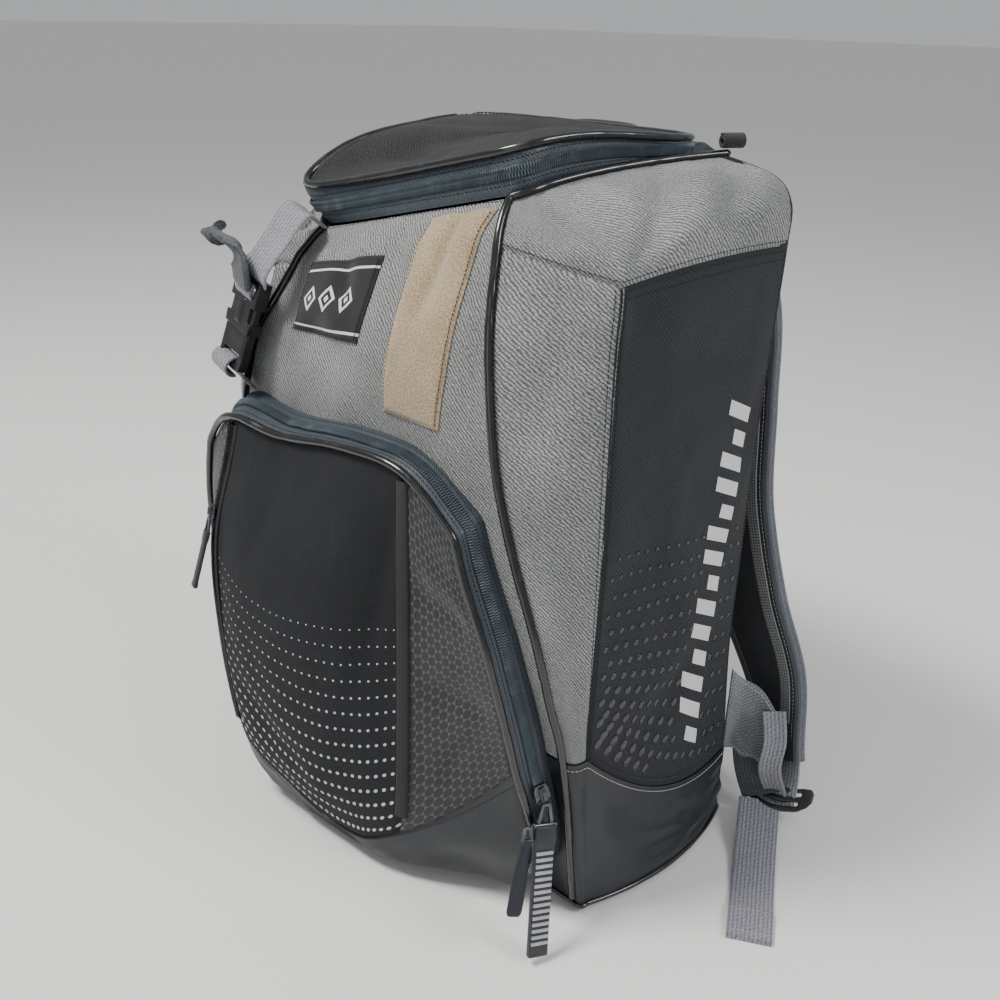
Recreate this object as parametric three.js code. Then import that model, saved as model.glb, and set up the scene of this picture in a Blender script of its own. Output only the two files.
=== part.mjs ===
// Ball player's backpack: a tall stuffed pack with a zipped lid, a domed front pocket,
// padded shoulder straps and one side-release buckle strap at the front left.
// Millimetres, +Z up, front towards -Y. The origin is the middle of the underside of the base.

import * as THREE from 'three';

// Main sizes
const HALF_WIDTH = 168;
const HALF_DEPTH = 78;
const BODY_HEIGHT = 474;
const POCKET_FOOT = 12;
const POCKET_HEIGHT = 0.6245 * BODY_HEIGHT;
const POCKET_REACH = 2.23 * HALF_DEPTH;
const LID_RISE = 24;
const LID_CROWN = 7;

// Walls, seams and clearances
const CLOTH = 2;
const COATED = 2.4;
const BACK_PAD = 9;
const GAP = 0.4;
const PIPE_RADIUS = 2.6;
const COIL_WIDTH = 7;
const COIL_HEIGHT = 2.4;
const TRIM = 1.2;

// Webbing, straps and hardware
const WEBBING = 1.8;
const STRAP_WEB_WIDTH = 25;
const TAIL_WIDTH = 30;
const PAD_WIDTH = 62;
const PAD_THICKNESS = 12;
const PATCH_WIDTH = 62;
const PATCH_HEIGHT = 52;
const VELCRO_WIDTH = 44;
const BUCKLE_WIDTH = 34;
const BUCKLE_THICKNESS = 11;
const LOCK_WIDTH = 54;
const LOCK_HEIGHT = 22;
const LOCK_THICKNESS = 5;
const PULL_RIBS = 15;
const PULL_WIDTH = 14;
const PULL_THICKNESS = 4.5;

// The buckle strap draws the front left corner of the lid down and out, and squeezes the left
// shoulder in behind it.
const DRAW = { outX: -18, inX: 30, y: -10, z: -38 };

const v3 = (x, y, z) => new THREE.Vector3(x, y, z);
const mix = (a, b, t) => a + (b - a) * t;

function smooth(low, high, x) {
  const t = Math.min(1, Math.max(0, (x - low) / (high - low)));
  return t * t * (3 - 2 * t);
}

function table(columns, rows) {
  return rows.map((row) => Object.fromEntries(columns.map((name, i) => [name, row[i]])));
}

// Value of a smooth line through evenly spaced values, at t from 0 to 1.
function along(values, t) {
  const line = new THREE.SplineCurve(values.map((value, i) => new THREE.Vector2(i, value)));
  return line.getPoint(t).y;
}

function finish(color, roughness, metalness = 0) {
  return { color, roughness, metalness };
}

const FINISH = {
  twillGray: finish(0x7d8080, 0.9),
  twillBlack: finish(0x1f2126, 0.88),
  wovenBlack: finish(0x1c1d21, 0.9),
  coated: finish(0x262c36, 0.5),
  zipTape: finish(0x3c4852, 0.6),
  coil: finish(0x2a323a, 0.4),
  piping: finish(0x141416, 0.35),
  ripstop: finish(0x1d1f23, 0.7),
  mesh: finish(0x18191b, 0.95),
  velcro: finish(0xa5917a, 0.98),
  webbing: finish(0x7f808e, 0.85),
  plastic: finish(0x17181b, 0.45),
  rubber: finish(0x2c2e33, 0.5),
  metal: finish(0x3a3c42, 0.35, 0.9),
  leather: finish(0x202430, 0.6),
  strap: finish(0x24262a, 0.9),
};

const pack = new THREE.Group();

function addSolid(name, geometry, look) {
  geometry.computeVertexNormals();
  const mesh = new THREE.Mesh(geometry, new THREE.MeshStandardMaterial(look));
  mesh.name = name;
  pack.add(mesh);
  return mesh;
}

// Turns the faces over where a solid came out inside out.
function outward(points, faces) {
  let volume = 0;
  for (const [a, b, c] of faces) {
    volume += points[a].dot(points[b].clone().cross(points[c]));
  }
  const order = volume < 0 ? faces.map(([a, b, c]) => [a, c, b]) : faces;
  const geometry = new THREE.BufferGeometry();
  geometry.setFromPoints(points);
  geometry.setIndex(order.flat());
  return geometry;
}

// A solid through rings of as many points each, with a fan over each end.
function loft(rings) {
  const count = rings[0].length;
  const points = rings.flat();
  const faces = [];
  for (let r = 0; r + 1 < rings.length; r += 1) {
    for (let i = 0; i < count; i += 1) {
      const j = (i + 1) % count;
      const a = r * count + i;
      const b = r * count + j;
      faces.push([a, b, b + count], [a, b + count, a + count]);
    }
  }
  const middle = (ring) => ring.reduce((sum, p) => sum.add(p), v3(0, 0, 0)).divideScalar(count);
  const last = (rings.length - 1) * count;
  points.push(middle(rings[0]), middle(rings[rings.length - 1]));
  for (let i = 0; i < count; i += 1) {
    const j = (i + 1) % count;
    faces.push([j, i, points.length - 2], [last + i, last + j, points.length - 1]);
  }
  return outward(points, faces);
}

// A closed wall between an outer and an inner grid of points.
function wall(outer, inner) {
  const rows = outer.length;
  const columns = outer[0].length;
  const points = [...outer.flat(), ...inner.flat()];
  const shift = rows * columns;
  const faces = [];
  for (let r = 0; r + 1 < rows; r += 1) {
    for (let c = 0; c + 1 < columns; c += 1) {
      const a = r * columns + c;
      const quad = [a, a + 1, a + 1 + columns, a + columns];
      faces.push([quad[0], quad[1], quad[2]], [quad[0], quad[2], quad[3]]);
      const back = quad.map((k) => k + shift);
      faces.push([back[0], back[2], back[1]], [back[0], back[3], back[2]]);
    }
  }
  const rim = [];
  for (let c = 0; c < columns; c += 1) rim.push(c);
  for (let r = 1; r < rows; r += 1) rim.push(r * columns + columns - 1);
  for (let c = columns - 2; c >= 0; c -= 1) rim.push((rows - 1) * columns + c);
  for (let r = rows - 2; r > 0; r -= 1) rim.push(r * columns);
  rim.forEach((a, i) => {
    const b = rim[(i + 1) % rim.length];
    faces.push([b, a, a + shift], [b, a + shift, b + shift]);
  });
  return outward(points, faces);
}

function crossNormal(a, b, c, d) {
  return c.clone().sub(a).cross(d.clone().sub(b)).normalize();
}

// Outward normals of a grid of rows (upwards) and columns (anticlockwise from above).
function gridNormals(grid, closed = false) {
  const rows = grid.length;
  const columns = grid[0].length;
  const at = (r, c) => grid[r][closed ? (c + columns) % columns : c];
  return grid.map((row, r) => row.map((_, c) => {
    const sum = v3(0, 0, 0);
    for (const dr of [-1, 0]) {
      for (const dc of [-1, 0]) {
        const r0 = r + dr;
        const c0 = c + dc;
        if (r0 < 0 || r0 + 1 >= rows) continue;
        if (!closed && (c0 < 0 || c0 + 1 >= columns)) continue;
        sum.add(crossNormal(at(r0, c0), at(r0, c0 + 1), at(r0 + 1, c0 + 1), at(r0 + 1, c0)));
      }
    }
    return sum.normalize();
  }));
}

// A panel of cloth cut from a surface: its edges keep half a gap from the seams, and its wall
// is mitred along the surface's own normals.
function panel(surface, rows, columns, thickness, edge = GAP / 2) {
  const width = surface.grid[0].length;
  const pick = (source) => rows.map((r) => columns.map((c) => source[r][(c + width) % width]));
  const outer = pick(surface.grid).map((row) => row.map((p) => p.clone()));
  const shared = pick(surface.normals);
  const own = gridNormals(outer);
  const last = { r: rows.length - 1, c: columns.length - 1 };
  const trimmed = outer.map((row, r) => row.map((p, c) => {
    const moved = p.clone();
    const towards = (other) => moved.add(other.clone().sub(p).setLength(edge));
    if (r === 0) towards(outer[1][c]);
    if (r === last.r) towards(outer[r - 1][c]);
    if (c === 0) towards(outer[r][1]);
    if (c === last.c) towards(outer[r][c - 1]);
    return moved;
  }));
  const inner = trimmed.map((row, r) => row.map((p, c) => {
    const slant = Math.max(0.6, shared[r][c].dot(own[r][c]));
    return p.clone().addScaledVector(shared[r][c], -thickness / slant);
  }));
  return wall(trimmed, inner);
}

const range = (from, to, step = 1) => {
  const list = [];
  for (let i = from; i <= to; i += step) list.push(i);
  return list;
};

// A round bead of trim along a line of points.
function bead(points, radius, steps, sides = 6) {
  const section = new THREE.Shape();
  for (let i = 0; i < sides; i += 1) {
    const angle = (i * 2 * Math.PI) / sides;
    const x = radius * Math.cos(angle);
    const y = radius * Math.sin(angle);
    if (i === 0) section.moveTo(x, y);
    else section.lineTo(x, y);
  }
  section.closePath();
  const path = new THREE.CatmullRomCurve3(points, false, 'centripetal');
  return new THREE.ExtrudeGeometry(section, { steps, extrudePath: path, bevelEnabled: false });
}

// A flat ribbon: middle points, the direction across it and its facing at each of them.
function ribbon(stations, thickness) {
  return loft(stations.map(({ middle, across, face, width }) => {
    const side = across.clone().setLength(width / 2);
    const lift = face.clone().setLength(thickness / 2);
    return [
      middle.clone().sub(side).sub(lift),
      middle.clone().add(side).sub(lift),
      middle.clone().add(side).add(lift),
      middle.clone().sub(side).add(lift),
    ];
  }));
}

// Stations along a smooth route, with the ribbon's across direction blended between its ends.
function ribbonRoute(route, acrossList, widths, count) {
  const path = new THREE.CatmullRomCurve3(route, false, 'centripetal');
  return range(0, count).map((i) => {
    const t = i / count;
    const middle = path.getPoint(t);
    const tangent = path.getTangent(t);
    const slot = t * (acrossList.length - 1);
    const k = Math.min(acrossList.length - 2, Math.floor(slot));
    const across = acrossList[k].clone().lerp(acrossList[k + 1], slot - k);
    across.addScaledVector(tangent, -across.dot(tangent)).normalize();
    const face = across.clone().cross(tangent).normalize();
    return { middle, across, face, width: along(widths, t), tangent };
  });
}

function drawn(point) {
  const share = point.z / BODY_HEIGHT;
  const reach = Math.min(1, Math.max(0, 0.5 - point.x / (0.88 * HALF_WIDTH)));
  const height = smooth(0.7, 0.94, share);
  const corner = 1 - smooth(-0.78 * HALF_DEPTH, -0.32 * HALF_DEPTH, point.y);
  const side = 1 - smooth(0.13 * HALF_DEPTH, 1.18 * HALF_DEPTH, point.y);
  const front = 0.62 * corner + 0.38 * side;
  const out = reach * side * (smooth(0.5, 0.64, share) - 0.4 * smooth(0.72, 0.84, share));
  const flank = smooth(0.6 * HALF_WIDTH, 0.95 * HALF_WIDTH, -point.x);
  const ahead = 1 - smooth(-0.2 * HALF_DEPTH, 0.8 * HALF_DEPTH, point.y);
  const inward = smooth(0.68, 0.92, share) * flank * ahead;
  return v3(
    point.x + DRAW.outX * out + (DRAW.inX - DRAW.outX) * inward,
    point.y + DRAW.y * reach * height * front,
    point.z + DRAW.z * reach * height * front,
  );
}

// Main body: one row of the table for each level, from the sole to the seam of the shoulders.
// Each level passes the front piping, the front edge of the black side panel, the middle of
// the side and the back corner. x, y and z are shares of the half width, half depth and height.
const BODY_LEVELS = table(
  ['pipeX', 'pipeY', 'pipeZ', 'edgeX', 'edgeY', 'edgeZ', 'sideX', 'sideZ', 'backX', 'backY', 'backZ', 'swell'],
  [
    [0.952, -0.900, 0.000, 1.000, -0.840, 0.000, 1.095, 0.000, 1.036, 0.950, 0.000, 0.00],
    [0.980, -0.975, 0.020, 1.022, -0.905, 0.020, 1.125, 0.020, 1.062, 1.020, 0.020, 0.02],
    [0.958, -1.165, 0.266, 1.000, -0.975, 0.262, 1.056, 0.139, 1.052, 1.040, 0.122, 0.05],
    [0.922, -1.270, 0.359, 1.000, -0.975, 0.359, 1.026, 0.316, 1.020, 1.040, 0.306, 0.06],
    [0.868, -1.345, 0.451, 1.000, -0.965, 0.451, 1.026, 0.451, 1.018, 1.045, 0.451, 0.08],
    [0.740, -1.370, 0.574, 1.000, -0.950, 0.574, 1.024, 0.574, 1.018, 1.055, 0.574, 0.10],
    [0.655, -1.370, 0.681, 0.994, -0.935, 0.681, 1.020, 0.681, 1.018, 1.075, 0.681, 0.10],
    [0.566, -1.245, 0.812, 0.988, -0.920, 0.812, 1.014, 0.812, 1.022, 1.115, 0.812, 0.10],
    [0.494, -1.015, 0.916, 0.980, -0.885, 0.895, 1.002, 0.905, 1.024, 1.140, 0.903, 0.08],
  ],
);

// Shoulders: from that seam to the rim of the top opening.
const SHOULDER_LEVELS = table(
  ['pipeX', 'pipeY', 'pipeZ', 'edgeX', 'edgeY', 'edgeZ', 'sideX', 'sideY', 'sideZ', 'backX', 'backY', 'backZ', 'swell'],
  [
    [0.470, -0.925, 0.941, 0.905, -0.820, 0.932, 0.965, 0.13, 0.956, 1.016, 1.155, 0.956, 0.07],
    [0.452, -0.835, 0.958, 0.702, -0.680, 0.956, 0.820, 0.18, 0.990, 0.930, 1.165, 0.988, 0.06],
    [0.435, -0.745, 0.970, 0.488, -0.487, 0.981, 0.571, 0.26, 0.996, 0.702, 1.180, 1.006, 0.05],
  ],
);

const FRONT_STEPS = 8;
const GUSSET_STEPS = 2;
const SIDE_STEPS = 4;
const BACK_STEPS = 6;
const SIDE_SWELL = 0.03;

// Column numbers of the seams around the body, anticlockwise from the left front piping.
const COLUMN = { leftPipe: 0, rightPipe: FRONT_STEPS };
COLUMN.rightEdge = COLUMN.rightPipe + GUSSET_STEPS;
COLUMN.rightBack = COLUMN.rightEdge + SIDE_STEPS;
COLUMN.leftBack = COLUMN.rightBack + BACK_STEPS;
COLUMN.leftEdge = COLUMN.leftBack + SIDE_STEPS;
COLUMN.end = COLUMN.leftEdge + GUSSET_STEPS;

function levelPoints(level) {
  const place = (x, y, z) => v3(x * HALF_WIDTH, y * HALF_DEPTH, z * BODY_HEIGHT);
  const sideY = level.sideY ?? mix(level.edgeY, level.backY, 0.5);
  return {
    pipe: place(level.pipeX, level.pipeY, level.pipeZ),
    edge: place(level.edgeX, level.edgeY, level.edgeZ),
    side: place(level.sideX, sideY, level.sideZ),
    back: place(level.backX, level.backY, level.backZ),
    swell: level.swell * HALF_DEPTH,
  };
}

function bodyRing(level) {
  const { pipe, edge, side, back, swell } = levelPoints(level);
  const ring = [];
  for (let i = 0; i < FRONT_STEPS; i += 1) {
    const share = -1 + (2 * i) / FRONT_STEPS;
    ring.push(v3(pipe.x * share, pipe.y - swell * (1 - share * share), pipe.z));
  }
  const half = [];
  for (let i = 0; i < GUSSET_STEPS; i += 1) {
    const t = i / GUSSET_STEPS;
    const bow = SIDE_SWELL * HALF_DEPTH * Math.sin(Math.PI * t);
    half.push(pipe.clone().lerp(edge, t).add(v3(bow, -bow, 0)));
  }
  const flank = new THREE.CatmullRomCurve3([edge, side, back]);
  for (let i = 0; i < SIDE_STEPS; i += 1) half.push(flank.getPoint(i / SIDE_STEPS));
  ring.push(...half);
  for (let i = 0; i < BACK_STEPS; i += 1) {
    const share = 1 - (2 * i) / BACK_STEPS;
    const bow = SIDE_SWELL * HALF_DEPTH * (1 - share * share);
    ring.push(v3(back.x * share, back.y + bow, back.z));
  }
  ring.push(v3(-back.x, back.y, back.z));
  for (let i = half.length - 1; i > 0; i -= 1) ring.push(v3(-half[i].x, half[i].y, half[i].z));
  return ring.map(drawn);
}

const LEVELS = [...BODY_LEVELS, ...SHOULDER_LEVELS];
const BASE_ROW = 2;
const SEAM_ROW = BODY_LEVELS.length - 1;
const RIM_ROW = LEVELS.length - 1;

const bodyGrid = LEVELS.map(bodyRing);
const body = { grid: bodyGrid, normals: gridNormals(bodyGrid, true) };

// Front face of the body at a place given by x and z, before the corner is drawn down.
function frontPoint(x, z) {
  const points = LEVELS.map(levelPoints);
  let k = 0;
  while (k < points.length - 2 && points[k + 1].pipe.z < z) k += 1;
  const t = (z - points[k].pipe.z) / (points[k + 1].pipe.z - points[k].pipe.z);
  const pipe = points[k].pipe.clone().lerp(points[k + 1].pipe, t);
  const swell = mix(points[k].swell, points[k + 1].swell, t);
  const share = Math.min(1, Math.abs(x) / pipe.x);
  return v3(x, pipe.y - swell * (1 - share * share), z);
}

function frontFacing(x, z) {
  const step = 4;
  const across = drawn(frontPoint(x + step, z)).sub(drawn(frontPoint(x - step, z)));
  const up = drawn(frontPoint(x, z + step)).sub(drawn(frontPoint(x, z - step)));
  return across.cross(up).normalize();
}

function pipeAt(z) {
  const points = LEVELS.map((level) => levelPoints(level).pipe);
  let k = 0;
  while (k < points.length - 2 && points[k + 1].z < z) k += 1;
  return points[k].clone().lerp(points[k + 1], (z - points[k].z) / (points[k + 1].z - points[k].z));
}

// Panels of the main body
function buildBase() {
  const foot = range(0, BASE_ROW).map((r) => bodyGrid[r].map((p) => p.clone()));
  const inner = foot.map((ring, r) => ring.map((p, c) => {
    const normal = body.normals[r][c];
    const flat = v3(normal.x, normal.y, 0).normalize();
    return p.clone().addScaledVector(flat, -COATED).setZ(r === 0 ? COATED : p.z);
  }));
  const lip = (ring) => ring.map((p) => p.clone().setZ(p.z - GAP / 2));
  const rings = [foot[0], foot[1], lip(foot[BASE_ROW]), lip(inner[BASE_ROW]), inner[1], inner[0]];
  addSolid('base_cup', loft(rings), FINISH.coated);
}

function buildBodyPanels() {
  const upper = range(BASE_ROW, RIM_ROW);
  const lower = range(BASE_ROW, SEAM_ROW);
  const shoulder = range(SEAM_ROW, RIM_ROW);
  const front = range(COLUMN.leftPipe, COLUMN.rightPipe);
  const back = range(COLUMN.rightBack, COLUMN.leftBack);
  addSolid('front_panel', panel(body, upper, front, CLOTH), FINISH.twillGray);
  addSolid('back_panel', panel(body, upper, back, BACK_PAD), FINISH.mesh);
  const sides = {
    right: { gusset: [COLUMN.rightPipe, COLUMN.rightEdge], side: [COLUMN.rightEdge, COLUMN.rightBack] },
    left: { gusset: [COLUMN.leftEdge, COLUMN.end], side: [COLUMN.leftBack, COLUMN.leftEdge] },
  };
  for (const [name, { gusset, side }] of Object.entries(sides)) {
    const whole = range(Math.min(gusset[0], side[0]), Math.max(gusset[1], side[1]));
    addSolid(`${name}_gusset`, panel(body, lower, range(...gusset), CLOTH), FINISH.twillGray);
    addSolid(`${name}_side_panel`, panel(body, lower, range(...side), CLOTH), FINISH.twillBlack);
    addSolid(`${name}_shoulder`, panel(body, shoulder, whole, CLOTH), FINISH.twillGray);
  }
}

// A bead laid on the surface along its grid points.
function onSurface(rowColumn, lift) {
  const width = bodyGrid[0].length;
  return rowColumn.map(([r, c]) => {
    const column = (c + width) % width;
    return bodyGrid[r][column].clone().addScaledVector(body.normals[r][column], lift);
  });
}

function buildBodyPiping() {
  const lift = PIPE_RADIUS + 2 * GAP;
  const ends = { right: [COLUMN.rightPipe, COLUMN.rightBack], left: [COLUMN.end, COLUMN.leftBack] };
  for (const [name, [pipe, back]] of Object.entries(ends)) {
    const step = Math.sign(back - pipe);
    const seam = onSurface(range(1, RIM_ROW - 1).map((r) => [r, pipe]), lift);
    const columns = [];
    for (let c = pipe; c !== back; c += step) columns.push(c);
    const rim = onSurface(columns.map((c) => [RIM_ROW, c]), lift);
    const below = onSurface(columns.map((c) => [RIM_ROW - 1, c]), lift);
    rim.forEach((p, i) => p.add(below[i].sub(p).setLength(PIPE_RADIUS + 3 * GAP)));
    addSolid(`${name}_body_piping`, bead([...seam, ...rim], PIPE_RADIUS, 40), FINISH.piping);
  }
}

// Lid: a zipped band that rises from the rim, a crowned panel on it and a bead between them.
const bandColumns = range(COLUMN.leftBack - bodyGrid[0].length, COLUMN.rightBack);
const LID_COLUMNS = bodyGrid[0].length;

function rimPoint(column) {
  return bodyGrid[RIM_ROW][(column + LID_COLUMNS) % LID_COLUMNS].clone();
}

function lidEdge(column, share = 1) {
  const point = rimPoint(column);
  const toBack = smooth(-0.4 * HALF_DEPTH, 1.18 * HALF_DEPTH, point.y);
  const rise = LID_RISE * mix(1, 0.3, toBack) * share;
  const centre = v3(0, 0.4 * HALF_DEPTH, point.z);
  const inward = centre.sub(point).setLength(0.16 * rise);
  return point.add(inward).add(v3(0, 0, rise + GAP));
}

function buildLid() {
  const shares = [0, 0.5, 1];
  const grid = shares.map((share) => bandColumns.map((c) => lidEdge(c, share)));
  const surface = { grid, normals: gridNormals(grid) };
  const bandAll = range(0, bandColumns.length - 1);
  addSolid('lid_zip_band', panel(surface, [0, 1, 2], bandAll, CLOTH), FINISH.zipTape);

  const coilLine = grid[1].map((p, c) => ({ p, n: surface.normals[1][c] })).slice(3, -3);
  const coil = coilLine.map(({ p, n }, i) => {
    const next = coilLine[Math.min(i + 1, coilLine.length - 1)].p;
    const before = coilLine[Math.max(i - 1, 0)].p;
    const across = next.clone().sub(before).cross(n).normalize();
    const middle = p.clone().addScaledVector(n, COIL_HEIGHT / 2 + 3 * GAP);
    return { middle, across, face: n, width: COIL_WIDTH };
  });
  addSolid('lid_zip_coil', ribbon(coil, COIL_HEIGHT), FINISH.coil);

  const edge = range(0, LID_COLUMNS - 1).map((c) => lidEdge(c).add(v3(0, 0, GAP)));
  const centre = v3(0, 0.25 * HALF_DEPTH, 0);
  edge.forEach((p) => {
    centre.z += p.z / edge.length;
  });
  const crown = (share, lift) => edge.map((p) => {
    const point = centre.clone().lerp(p, share);
    point.z = mix(centre.z, p.z, share) + LID_CROWN * (1 - share ** 2.4) + lift;
    return point;
  });
  const rings = [crown(0.34, CLOTH), crown(0.7, CLOTH), crown(0.92, CLOTH), crown(1, CLOTH)];
  rings.push(crown(1, 0), crown(0.92, 0), crown(0.7, 0), crown(0.34, 0));
  addSolid('lid_panel', loft(rings), FINISH.wovenBlack);

  const seam = bandColumns.slice(1, -1).map((c) => {
    const point = lidEdge(c);
    const out = point.clone().sub(v3(0, 0.25 * HALF_DEPTH, point.z)).setLength(PIPE_RADIUS + 4 * GAP);
    return point.add(out).add(v3(0, 0, CLOTH / 2));
  });
  addSolid('lid_piping', bead(seam, PIPE_RADIUS, 36), FINISH.piping);
  return { grid, surface };
}

// Rolled end of the lid zip at the right back corner.
function buildZipEnd(lid) {
  const last = lid.grid[1].length - 1;
  const seat = lid.grid[2][last].clone().lerp(lid.grid[1][last], 0.4);
  const outer = 4.6;
  const bore = 2.8;
  const length = 15;
  const ring = new THREE.Shape();
  ring.absarc(0, 0, outer, 0, 2 * Math.PI);
  const hole = new THREE.Path();
  hole.absarc(0, 0, bore, 0, 2 * Math.PI, true);
  ring.holes.push(hole);
  const tube = new THREE.ExtrudeGeometry(ring, { depth: length, bevelEnabled: false, curveSegments: 6 });
  const mesh = addSolid('lid_zip_end', tube, FINISH.coil);
  mesh.position.copy(seat).add(v3(outer + GAP, -length / 2, outer / 2));
  mesh.rotation.set(-Math.PI / 2, 0, -0.5);
}

// A thin flat piece that lies on the front panel, as rows of x shares between two z values.
function frontTrim(leftRight, bottomTop, steps, thickness, base = GAP) {
  const rows = range(0, steps.up).map((r) => {
    const z = mix(bottomTop[0], bottomTop[1], r / steps.up);
    return range(0, steps.across).map((c) => ({ x: mix(leftRight[0], leftRight[1], c / steps.across), z }));
  });
  const lifted = (lift) => rows.map((row) => row.map(({ x, z }) => (
    drawn(frontPoint(x, z)).addScaledVector(frontFacing(x, z), lift)
  )));
  return wall(lifted(base + thickness), lifted(base));
}

const PATCH_CENTRE = { x: -0.205 * HALF_WIDTH, z: 0.85 * BODY_HEIGHT };
const VELCRO_LEFT = 0.158 * HALF_WIDTH;

function buildFrontTrim() {
  const patchX = [PATCH_CENTRE.x - PATCH_WIDTH / 2, PATCH_CENTRE.x + PATCH_WIDTH / 2];
  const patchZ = [PATCH_CENTRE.z - PATCH_HEIGHT / 2, PATCH_CENTRE.z + PATCH_HEIGHT / 2];
  const patch = frontTrim(patchX, patchZ, { up: 4, across: 4 }, TRIM, 1.1);
  addSolid('front_patch', patch, FINISH.wovenBlack);
  const velcroZ = [POCKET_FOOT + POCKET_HEIGHT + 21, 0.958 * BODY_HEIGHT];
  const velcro = frontTrim([VELCRO_LEFT, VELCRO_LEFT + VELCRO_WIDTH], velcroZ, { up: 8, across: 3 }, 2, 1.1);
  addSolid('hook_strip', velcro, FINISH.velcro);
}

// Front pocket: each row is a level from its foot to its arched top; each level passes the left
// seam, the short zip, two points of the middle, the taped seam and the right seam.
// x and y are shares of the half width and of the pocket's reach.
const POCKET_LEVELS = table(
  ['level', 'leftX', 'leftY', 'zipX', 'zipY', 'nearX', 'nearY', 'farX', 'farY', 'tapeX', 'tapeY', 'rightX', 'rightY'],
  [
    [0.00, -0.76, -0.570, -0.56, -0.822, -0.27, -0.850, 0.06, -0.845, 0.33, -0.810, 0.80, -0.560],
    [0.17, -0.87, -0.600, -0.57, -0.910, -0.26, -0.945, 0.07, -0.920, 0.39, -0.816, 0.89, -0.585],
    [0.42, -0.87, -0.720, -0.57, -0.960, -0.25, -0.990, 0.09, -0.942, 0.39, -0.800, 0.84, -0.660],
    [0.72, -0.85, -0.785, -0.56, -0.965, -0.25, -0.995, 0.09, -0.930, 0.38, -0.785, 0.765, -0.735],
    [1.00, -0.82, -0.800, -0.56, -0.840, -0.27, -0.825, 0.07, -0.800, 0.37, -0.772, 0.61, -0.755],
  ],
);
const ARCH = [0.90, 0.98, 0.975, 1.0, 0.99, 0.89];
const STATIONS = ['left', 'zip', 'near', 'far', 'tape', 'right'];
const SHARE_OF_SEAM = { zip: 0.2, tape: 0.8 };
const COAT_LINE = [0.41, 0.2, 0.06, 0.02, 0.1, 0.41];
const POCKET_CORNER = { pull: 0.38, s: 0.12, r: 0.9 };

// Place on the pocket before its top left corner is rounded off.
function squarePocketPoint(s, r) {
  const slot = Math.min(POCKET_LEVELS.length - 2, POCKET_LEVELS.filter(({ level }) => level <= r).length - 1);
  const low = POCKET_LEVELS[slot].level;
  const t = (slot + (r - low) / (POCKET_LEVELS[slot + 1].level - low)) / (POCKET_LEVELS.length - 1);
  const column = (suffix) => STATIONS.map((name) => along(POCKET_LEVELS.map((row) => row[name + suffix]), t));
  const top = along(ARCH, s) * POCKET_HEIGHT;
  const x = along(column('X'), s) * HALF_WIDTH;
  const y = along(column('Y'), s) * POCKET_REACH;
  return v3(x, y, POCKET_FOOT + r * top);
}

function pocketPoint(s, r) {
  const { pull, s: innerS, r: innerR } = POCKET_CORNER;
  const share = pull * (1 - smooth(0, 0.16, s)) * smooth(0.84, 1, r);
  return squarePocketPoint(s, r).lerp(squarePocketPoint(innerS, innerR), share);
}

const POCKET_COLUMNS = 15;
const POCKET_RISE = 6;

function buildPocketSurface() {
  const shares = range(0, POCKET_COLUMNS).map((i) => i / POCKET_COLUMNS);
  const footLine = shares.map((s) => {
    const point = pocketPoint(s, 0);
    const z = POCKET_FOOT + 1;
    const x = point.x * 0.97;
    const behind = frontPoint(Math.min(Math.abs(x), pipeAt(z).x * 0.98), z);
    return v3(x, behind.y - 1.5, z);
  });
  const line = (level) => shares.map((s) => pocketPoint(s, level(s)));
  const coat = (s) => along(COAT_LINE, s);
  const rows = [footLine, line(() => 0), line((s) => coat(s) / 2), line(coat)];
  range(1, POCKET_RISE).forEach((k) => rows.push(line((s) => mix(coat(s), 1, k / POCKET_RISE))));
  return { grid: rows, normals: gridNormals(rows) };
}

const pocket = buildPocketSurface();
const POCKET_SEAM = { zip: SHARE_OF_SEAM.zip * POCKET_COLUMNS, tape: SHARE_OF_SEAM.tape * POCKET_COLUMNS };
const COAT_ROW = 3;
const POCKET_TOP_ROW = COAT_ROW + POCKET_RISE;

function buildPocketPanels() {
  const upper = range(COAT_ROW, POCKET_TOP_ROW);
  const middle = range(POCKET_SEAM.zip, POCKET_SEAM.tape);
  const left = range(0, POCKET_SEAM.zip);
  const right = range(POCKET_SEAM.tape, POCKET_COLUMNS);
  const all = range(0, POCKET_COLUMNS);
  addSolid('pocket_front_panel', panel(pocket, upper, middle, CLOTH), FINISH.twillBlack);
  addSolid('pocket_left_gusset', panel(pocket, upper, left, CLOTH), FINISH.ripstop);
  addSolid('pocket_right_gusset', panel(pocket, upper, right, CLOTH), FINISH.ripstop);
  addSolid('pocket_base', panel(pocket, range(0, COAT_ROW), all, COATED), FINISH.coated);
}

// Points round the seam between the pocket's front and its zip band, from foot to foot.
function pocketRim(t) {
  const rise = 0.34;
  if (t < rise) return { s: 0, r: t / rise };
  if (t > 1 - rise) return { s: 1, r: (1 - t) / rise };
  return { s: (t - rise) / (1 - 2 * rise), r: 1 };
}

// The band's outer line lies on the body's front and its inner line behind the pocket's seam.
function bandSection(t) {
  const { s, r } = pocketRim(t);
  const seam = pocketPoint(s, r);
  const centre = v3(0, seam.y, 0.4 * POCKET_HEIGHT);
  const out = seam.clone().sub(centre).setY(0).normalize();
  const spread = 8;
  const z = seam.z + Math.max(0, out.z) * spread;
  const limit = pipeAt(z).x - 2 * PIPE_RADIUS - 1;
  const x = Math.max(-limit, Math.min(limit, seam.x + out.x * spread));
  const root = drawn(frontPoint(x, z));
  root.y -= 1.2;
  const depth = root.clone().sub(seam);
  const front = seam.clone().add(depth.clone().setLength(CLOTH + GAP + 0.4));
  return { root, front, out };
}

const BAND_STEPS = 36;
const BAND_ENDS = 0.012;

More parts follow.
